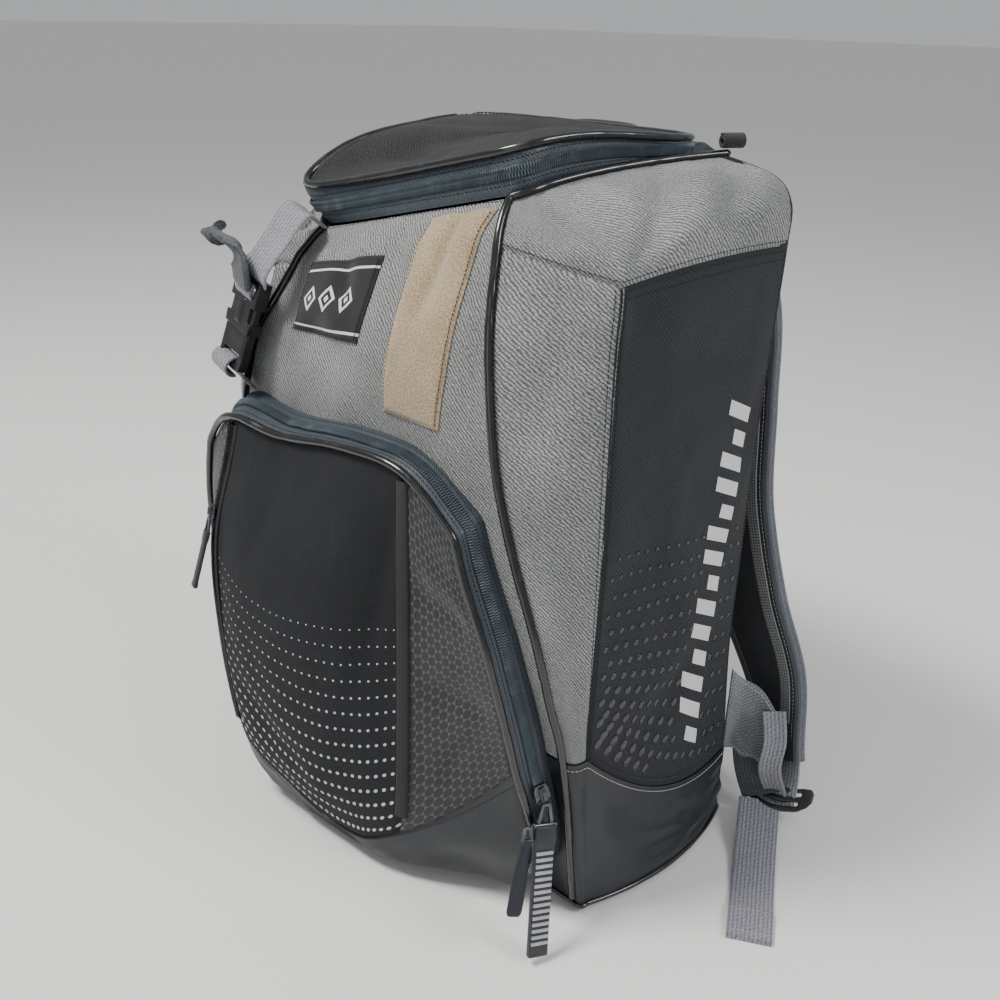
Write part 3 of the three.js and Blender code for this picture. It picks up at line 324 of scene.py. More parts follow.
def scatter(name: str, shape: Array, faces: Sequence, origins: Array, axes: Sequence[Array]):
    """Many copies of one small closed shape in one mesh.

    Args:
        name: Name of the piece.
        shape: Points of the small shape in its own frame.
        faces: Its faces.
        origins: Place of each copy.
        axes: Three rows of vectors, the frame of each copy.

    Returns:
        The object.
    """
    points = sum(shape[None, :, k : k + 1] * axes[k][:, None, :] for k in range(3))
    points = (points + origins[:, None, :]).reshape(-1, 3)
    lists = [[n * len(shape) + k for k in face] for n in range(len(origins)) for face in faces]
    corners = np.array([k for face in lists for k in face])
    return make_piece(name, points, lists, points[corners][:, [0, 2]], 60.0)


def spindle(length: float, width: float, height: float) -> tuple[Array, list[list[int]]]:
    """A short thread or tooth along X: two rings of four points between two tips.

    Args:
        length: Length from tip to tip.
        width: Width across.
        height: Height from its foot to its top.

    Returns:
        Its points and faces.
    """
    ring = np.array([[0, -width / 2, 0], [0, 0, -height / 2], [0, width / 2, 0], [0, 0, height / 2]])
    low, high = ring + [-length * 0.3, 0, 0], ring + [length * 0.3, 0, 0]
    points = np.vstack([low, high, [[-length / 2, 0, 0], [length / 2, 0, 0]]])
    faces = [[k, (k + 1) % 4, 4 + (k + 1) % 4, 4 + k] for k in range(4)]
    faces += [[(k + 1) % 4, k, 8] for k in range(4)]
    faces += [[4 + k, 4 + (k + 1) % 4, 9] for k in range(4)]
    return points, faces


def stitches(name: str, line: Array, facing: Array, pitch: float = 3.1, width: float = 0.55):
    """A row of sewn stitches along a line.

    Args:
        name: Name of the piece.
        line: Points of the line on the cloth.
        facing: Outward vector at each point.
        pitch: Distance from stitch to stitch.
        width: Width of the thread.

    Returns:
        The object.
    """
    places, facing = resample(line, pitch, facing)
    middles = (places[1:] + places[:-1]) / 2
    along = unit(places[1:] - places[:-1])
    facing = unit((facing[1:] + facing[:-1]) / 2)
    points, faces = spindle(pitch * 0.84, width, width)
    axes = (along, unit(np.cross(facing, along)), facing)
    return scatter(name, points, faces, middles + facing * width * 0.15, axes)


def frames_along(line: Array, across: Array) -> tuple[Array, Array, Array]:
    """Tangent, across and facing vectors of a strip whose rough across direction is given."""
    tangent = unit(np.gradient(line, axis=0))
    across = unit(across - tangent * (across * tangent).sum(axis=1, keepdims=True))
    return tangent, across, np.cross(across, tangent)


def tube(name: str, line: Array, radius: float, sides: int = 10, wobble: float = 0.0, seed: int = 1):
    """A round bead of trim along a dense line.

    Args:
        name: Name of the piece.
        line: Points of its middle.
        radius: Its radius.
        sides: Points round it.
        wobble: Share by which its radius varies.
        seed: Number of the variation's pattern.

    Returns:
        The object.
    """
    tangent = unit(np.gradient(line, axis=0))
    guide = np.array([0.31, 0.22, 0.93])
    axes = []
    for t in tangent:
        guide = guide - t * guide.dot(t)
        guide = guide / np.linalg.norm(guide)
        axes.append(guide)
    first = np.array(axes)
    second = np.cross(tangent, first)
    angle = np.linspace(0.0, 2.0 * math.pi, sides, endpoint=False)
    length = distances(line)
    sizes = radius * (1.0 + wobble * noise(length / 9.0, 0 * length, seed))
    sizes[[0, -1]] *= 0.55
    ring = np.cos(angle)[None, :, None] * first[:, None] + np.sin(angle)[None, :, None] * second[:, None]
    return loft(name, line[:, None] + ring * sizes[:, None, None])


def ribbon(
    name: str,
    line: Array,
    across: Array,
    width: Array | float,
    thickness: float,
    belly: float = 0.0,
    corner: float = 0.45,
):
    """A flat strip with rounded edges along a dense line.

    Args:
        name: Name of the piece.
        line: Points of its middle.
        across: Rough direction across it at each point.
        width: Its width, or the width at each point.
        thickness: Its thickness.
        belly: How far its middle stands out of its edges' plane.
        corner: Width of its rounded edges, as a multiple of the thickness.

    Returns:
        The object.
    """
    _, across, facing = frames_along(line, across)
    half = np.broadcast_to(np.asarray(width, float) / 2, (len(line),))
    turn = np.linspace(-90.0, 90.0, 5) * math.pi / 180
    steps = np.linspace(-1.0, 1.0, 9)[1:-1]
    edge = corner * thickness
    u = np.concatenate([np.cos(turn), -steps * 0, -np.cos(turn), steps * 0])
    v = np.concatenate([np.sin(turn), np.ones(7), -np.sin(turn), -np.ones(7)]) * thickness / 2
    side = np.concatenate([np.ones(5), -steps, -np.ones(5), steps])
    reach = half[:, None] - edge
    x = side[None] * reach + u[None] * edge
    bow = belly * (1.0 - np.clip(np.abs(x) / half[:, None], 0, 1) ** 2)
    rings = line[:, None] + across[:, None] * x[..., None]
    rings = rings + facing[:, None] * (v[None] + bow)[..., None]
    length = distances(line)
    flat_x = np.concatenate([x, x[:, :1]], axis=1)
    flat = np.stack([flat_x, np.broadcast_to(length[:, None], flat_x.shape)], axis=2)
    return loft(name, rings, flat)


@dataclass(frozen=True)
class Crease:
    """A fold line on a cut of cloth, between two places given as shares of its width and height."""

    start: tuple[float, float]
    end: tuple[float, float]
    width: float
    depth: float

    def height(self, x: Array, y: Array, size: tuple[float, float]) -> Array:
        """Height of the cloth at places on it: a valley along the line with a soft ridge beside it.

        Args:
            x: Places across in millimetres.
            y: Places up in millimetres.
            size: Width and height of the cut.

        Returns:
            The height at each place.
        """
        start, end = np.array(self.start) * size, np.array(self.end) * size
        length = np.linalg.norm(end - start)
        way = (end - start) / length
        share = ((x - start[0]) * way[0] + (y - start[1]) * way[1]) / length
        aside = (x - start[0]) * -way[1] + (y - start[1]) * way[0]
        aside = aside + self.width * 0.5 * np.sin(share * 4.0 + self.width)
        fade = smooth(-0.12, 0.3, share) * (1.0 - smooth(0.7, 1.12, share))
        valley = -np.exp(-((aside / self.width) ** 2))
        ridge = 0.5 * np.exp(-(((aside - 1.9 * self.width) / (1.3 * self.width)) ** 2))
        return self.depth * fade * (valley + ridge)


@dataclass
class Cut:
    """One cut of cloth sewn into the pack: its places, its folds and how its edges turn in."""

    name: str
    places: Array
    across: Array
    upward: Array
    thickness: float = 2.0
    seed: int = 1
    billow: float = 1.0
    cell: float = 48.0
    pucker: float = 0.5
    roll: float = 1.5
    creases: tuple[Crease, ...] = ()
    sides: str = "lrbt"
    flat: Array = field(init=False)
    outer: Array = field(init=False)
    facing: Array = field(init=False)

    def __post_init__(self) -> None:
        """Lays the cut out flat, folds it and turns its edges in."""
        self.flat = flat_layout(self.places)
        x, y = self.flat[..., 0], self.flat[..., 1]
        size = (x.max(), y.max())
        gaps = {"l": x, "r": size[0] - x, "b": y, "t": size[1] - y}
        near = np.minimum.reduce([gaps[side] for side in self.sides])
        lift = -self.roll * np.exp(-((near / 2.0) ** 2))
        for k, side in enumerate(self.sides):
            run = y if side in "lr" else x
            fade = np.exp(-gaps[side] / 9.0) * smooth(0.0, 4.0, gaps[side])
            lift = lift + self.pucker * fade * noise(run / 5.5, run * 0 + k + 0.5, self.seed + k)
        window = smooth(0.0, 16.0, np.minimum.reduce(list(gaps.values())))
        broad = noise(x / self.cell, y / self.cell, self.seed + 11)
        broad = broad + 0.4 * noise(x / self.cell * 2.7, y / self.cell * 2.2, self.seed + 12)
        folds = sum((fold.height(x, y, size) for fold in self.creases), start=np.zeros_like(x))
        lift = lift + window * (self.billow * broad + folds)
        self.outer = self.places + normals_of(self.places) * lift[..., None]
        self.facing = normals_of(self.outer)

    def build(self):
        """Makes the cut's closed wall."""
        inner = self.outer - self.facing * self.thickness
        return wall(self.name, self.outer, inner, self.flat)

    def line(self, side: str, inset: float, lift: float = 0.0) -> tuple[Array, Array]:
        """A line on the cut beside one of its edges.

        Args:
            side: "l", "r", "b" or "t".
            inset: Distance from that edge.
            lift: Height above the cloth.

        Returns:
            Points of the line and the outward vector at each.
        """
        upright = side in "lr"
        across = self.flat[0, :, 0] if upright else self.flat[:, 0, 1]
        at = inset if side in "lb" else across[-1] - inset
        k = int(np.clip(np.searchsorted(across, at), 1, len(across) - 1))
        w = np.clip((at - across[k - 1]) / (across[k] - across[k - 1]), 0.0, 1.0)

        def pick(grid: Array) -> Array:
            """Rows of the grid at that distance."""
            pair = (grid[:, k - 1], grid[:, k]) if upright else (grid[k - 1], grid[k])
            return mix(pair[0], pair[1], w)

        facing = unit(pick(self.facing))
        return pick(self.outer) + facing * lift, facing

    def at(self, u: Array, v: Array) -> tuple[Array, Array]:
        """Places on the folded cloth.

        Args:
            u: Places across, in the surface's own columns.
            v: Places up, in its own rows.

        Returns:
            The points there and the vectors out of the cloth.
        """
        i = np.clip(np.searchsorted(self.across, u) - 1, 0, len(self.across) - 2)
        j = np.clip(np.searchsorted(self.upward, v) - 1, 0, len(self.upward) - 2)
        s = ((u - self.across[i]) / (self.across[i + 1] - self.across[i]))[..., None]
        t = ((v - self.upward[j]) / (self.upward[j + 1] - self.upward[j]))[..., None]
        found = []
        for grid in (self.outer, self.facing):
            low = mix(grid[j, i], grid[j, i + 1], s)
            found.append(mix(low, mix(grid[j + 1, i], grid[j + 1, i + 1], s), t))
        return found[0], unit(found[1])


# ---------------------------------------------------------------- finishes


def srgb(red: int, green: int, blue: int) -> Color:
    """A colour given as on a screen, from 0 to 255, as the renderer's linear values."""
    parts = (value / 255 for value in (red, green, blue))
    return tuple(p / 12.92 if p <= 0.04045 else ((p + 0.055) / 1.055) ** 2.4 for p in parts)


class Weave(Enum):
    """How a cloth's threads or grain run."""

    TWILL = "Twill threads"
    PLAIN = "Plain threads"
    RIBBED = "Webbing ribs"
    MESH = "Mesh holes"
    COATED = "Coated grain"
    HONEYCOMB = "Honeycomb net"
    PILE = "Looped pile"


class Print(Enum):
    """What is printed or woven onto a cloth."""

    NONE = "none"
    HALFTONE = "halftone dots"
    BARS = "slanted bars"
    PATCH = "patch lines"
    # Dark dots that stand for holes: the dark pad behind them, darkened further as painted shade inside them.
    HOLES = "punched holes"
    NET = "net lines"


class Nodes:
    """Short ways to add shader nodes to one tree and to join them."""

    def __init__(self, tree: bpy.types.NodeTree) -> None:
        """Keeps the tree that the nodes go into."""
        self.tree = tree

    def add(self, kind: str, **settings):
        """Adds a node and sets its properties."""
        node = self.tree.nodes.new(kind)
        for key, value in settings.items():
            setattr(node, key, value)
        return node

    def put(self, socket, value) -> None:
        """Joins a socket to an output, or sets its value."""
        if isinstance(value, bpy.types.NodeSocket):
            self.tree.links.new(value, socket)
        elif isinstance(value, tuple) and len(value) == 3 and socket.type == "RGBA":
            socket.default_value = (*value, 1.0)
        else:
            socket.default_value = value

    def calc(self, operation: str, *values, clamp: bool = False):
        """Output of one sum on values or sockets."""
        node = self.add("ShaderNodeMath", operation=operation, use_clamp=clamp)
        for socket, value in zip(node.inputs, values):
            self.put(socket, value)
        return node.outputs[0]

    def product(self, first, second, clamp: bool = False):
        """Output of one value or socket times another."""
        return self.calc("MULTIPLY", first, second, clamp=clamp)

    def bump(self, shader: bpy.types.Node, height, distance: float, strength: float) -> None:
        """Lets a height in metres times distance bend a shader's normal."""
        node = self.add("ShaderNodeBump")
        node.inputs["Strength"].default_value = strength
        node.inputs["Distance"].default_value = distance
        self.put(node.inputs["Height"], height)
        self.put(shader.inputs["Normal"], node.outputs[0])

    def wave(self, place, share: float = 1.0):
        """A wave from 0 to 1 along a value, share times for each whole number."""
        turn = self.calc("SINE", self.product(place, 2 * math.pi * share))
        return self.calc("MULTIPLY_ADD", turn, 0.5, 0.5)

    def ramp(self, value, low: float, high: float):
        """Smooth step of a value from low to high."""
        node = self.add("ShaderNodeMapRange", interpolation_type="SMOOTHSTEP")
        for socket, item in zip(node.inputs, (value, low, high, 0.0, 1.0)):
            self.put(socket, item)
        return node.outputs[0]

    def speckle(self, place, scale: float, detail: float = 2.0, rough: float = 0.55):
        """Noise from 0 to 1 with cells of 1 / scale metres."""
        node = self.add("ShaderNodeTexNoise")
        self.put(node.inputs["Vector"], place)
        for key, value in (("Scale", scale), ("Detail", detail), ("Roughness", rough)):
            node.inputs[key].default_value = value
        return node.outputs[0]

    def blend(self, share, first, second):
        """Colour between two colours."""
        node = self.add("ShaderNodeMix", data_type="RGBA")
        self.put(node.inputs[0], share)
        self.put(node.inputs[6], first)
        self.put(node.inputs[7], second)
        return node.outputs[2]

    def parts(self, place):
        """The x, y and z of a vector."""
        node = self.add("ShaderNodeSeparateXYZ")
        self.put(node.inputs[0], place)
        return node.outputs

    def use(self, group: bpy.types.NodeTree, **values):
        """Adds a node group and joins its named inputs."""
        node = self.add("ShaderNodeGroup", node_tree=group)
        for key, value in values.items():
            self.put(node.inputs[key.replace("_", " ")], value)
        return node.outputs


def effect(name: str, inputs: str, outputs: str, fill: Callable) -> bpy.types.NodeTree:
    """A node group with named sockets, made once.

    Args:
        name: Name of the group.
        inputs: Names of its inputs, each with its kind, as in "Place:Vector Pitch:Float".
        outputs: The same for its outputs.
        fill: Function that takes the nodes and the inputs and gives the outputs.

    Returns:
        The group.
    """
    found = bpy.data.node_groups.get(name)
    if found:
        return found
    tree = bpy.data.node_groups.new(name, "ShaderNodeTree")
    for words, way in ((inputs, "INPUT"), (outputs, "OUTPUT")):
        for word in words.split():
            label, kind = word.split(":")
            label = label.replace("_", " ")
            tree.interface.new_socket(name=label, in_out=way, socket_type=f"NodeSocket{kind}")
    nodes = Nodes(tree)
    source = nodes.add("NodeGroupInput")
    target = nodes.add("NodeGroupOutput")
    results = fill(nodes, {socket.name: socket for socket in source.outputs if socket.name})
    for socket, value in zip(target.inputs, results):
        nodes.put(socket, value)
    return tree


def new_material(name: str) -> tuple[bpy.types.Material, Nodes, bpy.types.Node]:
    """An empty material with its node helper and its shader."""
    material = bpy.data.materials.new(name)
    material.use_nodes = True
    return material, Nodes(material.node_tree), material.node_tree.nodes["Principled BSDF"]


def threads(weave: Weave) -> bpy.types.NodeTree:
    """Group that gives the height of a cloth's threads at a place, and a shade that is low in the valleys and
    holes between them: it darkens the cloth's colour there as painted shade and marks a net's lines.
    """

    def fill(nodes: Nodes, given: dict) -> tuple:
        """Threads from waves, one way or both, with a little unevenness."""
        x, y, _ = nodes.parts(given["Place"])
        uneven = nodes.calc("SUBTRACT", nodes.speckle(given["Place"], 260.0), 0.5)
        x = nodes.calc("ADD", nodes.calc("DIVIDE", x, given["Pitch"]), nodes.product(uneven, 0.7))
        y = nodes.calc("ADD", nodes.calc("DIVIDE", y, given["Pitch"]), nodes.product(uneven, 0.7))
        fine = nodes.speckle(given["Place"], 1500.0, 3.0, 0.7)
        if weave is Weave.TWILL:
            rib = nodes.wave(nodes.calc("ADD", x, y))
            thread = nodes.wave(nodes.calc("SUBTRACT", x, y), 1.7)
            height = nodes.calc("MULTIPLY_ADD", rib, 0.78, nodes.product(thread, 0.22))
        elif weave is Weave.PLAIN:
            rib, thread = nodes.wave(x), nodes.wave(y)
            both = nodes.calc("ABSOLUTE", nodes.calc("SUBTRACT", rib, thread))
            height = nodes.calc("MULTIPLY_ADD", both, 0.8, 0.1)
        elif weave is Weave.RIBBED:
            rib = nodes.calc("ABSOLUTE", nodes.calc("SINE", nodes.product(x, math.pi)))
            thread = nodes.wave(nodes.calc("ADD", y, nodes.product(x, 0.5)), 0.8)
            height = nodes.calc("MULTIPLY_ADD", rib, 0.7, nodes.product(thread, 0.3))
        elif weave is Weave.MESH:
            odd = nodes.wave(nodes.calc("ADD", x, nodes.product(y, 0.5)))
            hole = nodes.product(odd, nodes.wave(y))
            height = nodes.calc("SUBTRACT", 1.0, nodes.ramp(hole, 0.35, 0.7))
        elif weave is Weave.HONEYCOMB:
            waves = []
            for lean, rise in ((1.0, 0.0), (-0.5, 0.866), (-0.5, -0.866)):
                way = nodes.calc("MULTIPLY_ADD", y, rise, nodes.product(x, lean))
                waves.append(nodes.calc("COSINE", nodes.product(way, 0.96)))
            total = nodes.calc("ADD", nodes.calc("ADD", waves[0], waves[1]), waves[2])
            net = nodes.calc("SUBTRACT", 1.0, nodes.ramp(total, -1.2, -0.86))
            height = nodes.calc("MULTIPLY_ADD", nodes.wave(x), 0.12, nodes.product(net, 0.88))
        elif weave is Weave.COATED:
            height = nodes.speckle(given["Place"], 700.0, 4.0, 0.6)
        else:
            height = nodes.speckle(given["Place"], 620.0, 5.0, 0.8)
        height = nodes.calc("MULTIPLY_ADD", height, 0.8, nodes.product(fine, 0.2))
        # Shade is high on the threads' crests and low between them; the cloth's colour darkens with it as
        # painted shade.
        return height, nodes.ramp(height, 0.2, 0.7)

    return effect(weave.value, "Place:Vector Pitch:Float", "Height:Float Shade:Float", fill)


def mottle() -> bpy.types.NodeTree:
    """Group that gives a cloth's colour: dark and light threads, slow fading, and painted shade where the
    threads lie low.
    """

    def fill(nodes: Nodes, given: dict) -> tuple:
        """Mixes the two colours by noise at two scales, then darkens them by the threads' shade: painted
        shade in the valleys and holes of the weave.
        """
        small = nodes.ramp(nodes.speckle(given["Place"], 900.0, 3.0, 0.75), 0.35, 0.68)
        broad = nodes.ramp(nodes.speckle(given["Place"], 14.0, 3.0), 0.3, 0.7)
        share = nodes.product(small, given["Amount"])
        share = nodes.calc("MULTIPLY_ADD", broad, nodes.product(given["Amount"], 0.35), share)
        color = nodes.blend(nodes.product(share, 0.8, clamp=True), given["Deep"], given["Light"])
        # Painted shade: the colour darkens where the threads lie low, as far as Depth allows.
        under = nodes.calc("SUBTRACT", nodes.calc("SUBTRACT", 1.0, given["Shade"]), 0.12)
        dark = nodes.calc("SUBTRACT", 1.0, nodes.product(under, given["Depth"]))
        scaled = nodes.add("ShaderNodeVectorMath", operation="SCALE")
        nodes.put(scaled.inputs[0], color)
        nodes.put(scaled.inputs["Scale"], dark)
        return (scaled.outputs[0],)

    inputs = "Place:Vector Deep:Color Light:Color Amount:Float Shade:Float Depth:Float"
    return effect("Cloth colour", inputs, "Color:Color", fill)


def wear() -> bpy.types.NodeTree:
    """Group that gives a mask of dust and scuffs."""

    def fill(nodes: Nodes, given: dict) -> tuple:
        """Patches of fine streaks, more or fewer by the amount."""
        stretched = nodes.add("ShaderNodeMapping")
        nodes.put(stretched.inputs["Vector"], given["Place"])
        stretched.inputs["Scale"].default_value = (1.0, 0.35, 1.0)
        streaks = nodes.ramp(nodes.speckle(stretched.outputs[0], 240.0, 4.0, 0.7), 0.52, 0.75)
        patches = nodes.ramp(nodes.speckle(given["Place"], 11.0, 3.0), 0.42, 0.72)
        mask = nodes.product(streaks, patches)
        return (nodes.product(mask, given["Amount"], clamp=True),)

    return effect("Dust and scuffs", "Place:Vector Amount:Float", "Mask:Float", fill)


def dots() -> bpy.types.NodeTree:
    """Group that gives a field of dots that grow downwards, row by row."""

    def fill(nodes: Nodes, given: dict) -> tuple:
        """Distance to the nearest dot's middle against a radius that follows the row."""
        x, y, _ = nodes.parts(given["Place"])
        y = nodes.calc("MULTIPLY_ADD", x, given["Slope"], y)
        row = nodes.calc("DIVIDE", nodes.calc("SUBTRACT", given["Top"], y), given["Pitch Y"])
        whole = nodes.calc("FLOOR", row)
        column = nodes.calc("DIVIDE", x, given["Pitch X"])
        u = nodes.calc("SUBTRACT", nodes.calc("FRACT", column), 0.5)
        v = nodes.calc("SUBTRACT", nodes.calc("FRACT", row), 0.5)
        u = nodes.calc("POWER", nodes.product(u, given["Pitch X"]), 2.0)
        v = nodes.calc("POWER", nodes.product(v, given["Pitch Y"]), 2.0)
        away = nodes.calc("SQRT", nodes.calc("ADD", u, v))
        share = nodes.calc("DIVIDE", whole, given["Rows"], clamp=True)
        reach = nodes.calc("SUBTRACT", given["Large"], given["Small"])
        radius = nodes.calc("MULTIPLY_ADD", share, reach, given["Small"])
        inside = nodes.calc("DIVIDE", nodes.calc("SUBTRACT", radius, away), 0.00025)
        inside = nodes.calc("ADD", inside, 0.5, clamp=True)
        within = nodes.calc("GREATER_THAN", row, 0.0)
        within = nodes.product(within, nodes.calc("LESS_THAN", row, given["Rows"]))
        return (nodes.product(inside, within),)

    sizes = "Pitch_X:Float Pitch_Y:Float Top:Float Rows:Float Small:Float Large:Float Slope:Float"
    inputs = f"Place:Vector {sizes}"
    return effect("Growing dots", inputs, "Mask:Float", fill)


def bars() -> bpy.types.NodeTree:
    """Group that gives a column of plain slanted bars."""

    def fill(nodes: Nodes, given: dict) -> tuple:
        """Bars between two x values and two y values, every third one left short."""
        x, y, _ = nodes.parts(given["Place"])
        slant = nodes.calc("MULTIPLY_ADD", x, 0.45, y)
        row = nodes.calc("DIVIDE", nodes.calc("SUBTRACT", slant, given["Low"]), given["Pitch"])
        bar = nodes.calc("LESS_THAN", nodes.calc("FRACT", row), 0.58)
        third = nodes.calc("LESS_THAN", nodes.calc("MODULO", nodes.calc("FLOOR", row), 3.0), 0.5)
        cut = nodes.product(nodes.product(third, 0.4), given["Width"])
        start = nodes.calc("MULTIPLY_ADD", y, given["Lean"], given["Left"])
        left = nodes.calc("ADD", start, cut)
        right = nodes.calc("ADD", start, given["Width"])
        after, before = nodes.calc("GREATER_THAN", x, left), nodes.calc("LESS_THAN", x, right)
        inside = nodes.product(after, before)
        above, below = nodes.calc("GREATER_THAN", row, 0.0), nodes.calc("LESS_THAN", row, given["Count"])
        span = nodes.product(above, below)
        return (nodes.product(nodes.product(bar, inside), span),)

    inputs = "Place:Vector Left:Float Width:Float Low:Float Pitch:Float Count:Float Lean:Float"
    return effect("Slanted bars", inputs, "Mask:Float", fill)


def patch_lines() -> bpy.types.NodeTree:
    """Group that gives the woven patch's two lines and three lozenges between them."""

    def fill(nodes: Nodes, given: dict) -> tuple:
        """Lines near the top and bottom edges and outlined lozenges in the middle."""
        x, y, _ = nodes.parts(given["Place"])
        height = given["Height"]
        lines = []
        for share in (0.1, 0.9):
            away = nodes.calc("ABSOLUTE", nodes.calc("SUBTRACT", y, nodes.product(height, share)))
            lines.append(nodes.calc("LESS_THAN", away, 0.0008))
        place = nodes.calc("MULTIPLY_ADD", nodes.calc("DIVIDE", x, given["Width"]), 3.6, -0.3)
        column = nodes.calc("SUBTRACT", nodes.calc("FRACT", place), 0.5)
        whole = nodes.calc("LESS_THAN", nodes.calc("ABSOLUTE", nodes.calc("SUBTRACT", place, 1.5)), 1.5)
        row = nodes.calc("DIVIDE", nodes.calc("SUBTRACT", y, nodes.product(height, 0.5)), 0.022)
        away = nodes.calc("ADD", nodes.calc("ABSOLUTE", column), nodes.calc("ABSOLUTE", row))
        ring = nodes.calc("LESS_THAN", nodes.calc("ABSOLUTE", nodes.calc("SUBTRACT", away, 0.34)), 0.07)
        ring = nodes.calc("MAXIMUM", ring, nodes.calc("LESS_THAN", away, 0.12))
        ring = nodes.product(ring, whole)
        lined = nodes.calc("MAXIMUM", lines[0], lines[1])
        return (nodes.calc("MAXIMUM", lined, ring),)

    return effect("Patch lines", "Place:Vector Height:Float Width:Float", "Mask:Float", fill)


@dataclass(frozen=True)
class ClothFinish:
    """Look of a woven or coated cloth, read from the piece's flat layout."""

    name: str
    slot: str
    deep: Color
    light: Color
    weave: Weave
    pitch: float = 0.0011
    relief: float = 0.00018
    # Strength of the painted shade in the threads' valleys and holes.
    depth: float = 0.5
    roughness: float = 0.85
    mottled: float = 0.5
    sheen: float = 0.15
    coat: float = 0.0
    worn: float = 0.25
    printed: Print = Print.NONE
    ink: Color = (0.5, 0.5, 0.5)
    extent: tuple[float, ...] = ()

    def mask(self, nodes: Nodes, place):
        """Mask of what is printed on the cloth.

        Args:
            nodes: Nodes of the material.
            place: Socket of the flat place.

        Returns:
            The mask's socket, or None where nothing is printed.
        """
        if self.printed is Print.HALFTONE or self.printed is Print.HOLES:
            keys = ("Pitch X", "Pitch Y", "Top", "Rows", "Small", "Large", "Slope")
            values = dict(zip(keys, self.extent))
            return nodes.use(dots(), Place=place, **values)["Mask"]
        if self.printed is Print.BARS:
            keys = ("Left", "Width", "Low", "Pitch", "Count", "Lean")
            return nodes.use(bars(), Place=place, **dict(zip(keys, self.extent)))["Mask"]
        if self.printed is Print.PATCH:
            return nodes.use(patch_lines(), Place=place, Height=self.extent[0], Width=self.extent[1])["Mask"]
        return None

    def material(self) -> bpy.types.Material:
        """The cloth's material, made once.

        Returns:
            The material.
        """
        found = bpy.data.materials.get(self.name)
        if found:
            return found
        material, nodes, shader = new_material(self.name)
        place = nodes.add("ShaderNodeUVMap", uv_map="cloth").outputs[0]
        thread = nodes.use(threads(self.weave), Place=place, Pitch=self.pitch)
        color = nodes.use(
            mottle(),
            Place=place,
            Deep=self.deep,
            Light=self.light,
            Amount=self.mottled,
            Shade=thread["Shade"],
            Depth=self.depth,
        )["Color"]
        dust = nodes.use(wear(), Place=place, Amount=self.worn)["Mask"]
        color = nodes.blend(nodes.product(dust, 0.2), color, srgb(140, 140, 138))
        mask = thread["Shade"] if self.printed is Print.NET else self.mask(nodes, place)
        if mask is not None:
            color = nodes.blend(mask, color, self.ink)
        nodes.put(shader.inputs["Base Color"], color)
        rough = nodes.calc("MULTIPLY_ADD", dust, 0.3, self.roughness, clamp=True)
        nodes.put(shader.inputs["Roughness"], rough)
        shader.inputs["Sheen Weight"].default_value = self.sheen
        shader.inputs["Coat Weight"].default_value = self.coat
        nodes.bump(shader, thread["Height"], self.relief, strength=0.8)
        return material


def grain() -> bpy.types.NodeTree:
    """Group that gives a hard surface's fine grain and rubbed patches."""

    def fill(nodes: Nodes, given: dict) -> tuple:
        """Fine noise for the grain, and slow noise for what has been rubbed."""
        fine = nodes.speckle(given["Place"], 1800.0, 3.0, 0.6)
        slow = nodes.ramp(nodes.speckle(given["Place"], 90.0, 4.0, 0.65), 0.45, 0.75)
        rough = nodes.calc("MULTIPLY_ADD", slow, given["Amount"], given["Base"], clamp=True)
        return fine, slow, rough

    inputs = "Place:Vector Base:Float Amount:Float"
    return effect("Moulded grain", inputs, "Height:Float Rubbed:Float Roughness:Float", fill)


@dataclass(frozen=True)
class HardFinish:
    """Look of moulded plastic, rubber, metal or vinyl, read from the place in the row frame."""

    name: str
    slot: str
    color: Color
    rubbed: Color
    roughness: float = 0.4
    variation: float = 0.15
    metallic: float = 0.0
    coat: float = 0.0
    relief: float = 0.00005

    def material(self) -> bpy.types.Material:
        """The material, made once.

        Returns:
            The material.
        """
        found = bpy.data.materials.get(self.name)
        if found:
            return found
        material, nodes, shader = new_material(self.name)
        place = nodes.add("ShaderNodeTexCoord").outputs["Object"]
        surface = nodes.use(grain(), Place=place, Base=self.roughness, Amount=self.variation)
        share = nodes.product(surface["Rubbed"], 0.5)
        nodes.put(shader.inputs["Base Color"], nodes.blend(share, self.color, self.rubbed))
        nodes.put(shader.inputs["Roughness"], surface["Roughness"])
        shader.inputs["Metallic"].default_value = self.metallic
        shader.inputs["Coat Weight"].default_value = self.coat
        nodes.bump(shader, surface["Height"], self.relief, strength=0.5)
        return material


GRAY_TWILL = ClothFinish(
    "gray heather twill",
    "gray_twill",
    srgb(100, 103, 104),
    srgb(186, 188, 184),
    Weave.TWILL,
    pitch=0.0029,
    relief=0.0005,
    depth=0.78,
    mottled=0.75,
    sheen=0.05,
)
BLACK_TWILL = ClothFinish(
    "black twill",
    "black_twill",
    srgb(14, 17, 22),
    srgb(50, 57, 66),
    Weave.TWILL,
    pitch=0.0028,
    relief=0.0004,
    depth=0.85,
    sheen=0.05,
)
BAR_TWILL = replace(
    BLACK_TWILL,
    name="black twill with bars",
    printed=Print.BARS,
    ink=srgb(205, 206, 205),
    extent=(0.090, 0.026, 0.078, 0.0175, 14.0, 0.116),
)
DOTTED_TWILL = ClothFinish(
    "black twill with halftone dots",
    "black_twill",
    srgb(10, 12, 17),
    srgb(34, 38, 47),
    Weave.TWILL,
    pitch=0.0024,
    relief=0.0003,
    depth=0.8,
    sheen=0.0,
    printed=Print.HALFTONE,
    ink=srgb(190, 192, 196),
    extent=(0.0060, 0.0121, 0.1720, 14.0, 0.00055, 0.00175, 0.0),
)
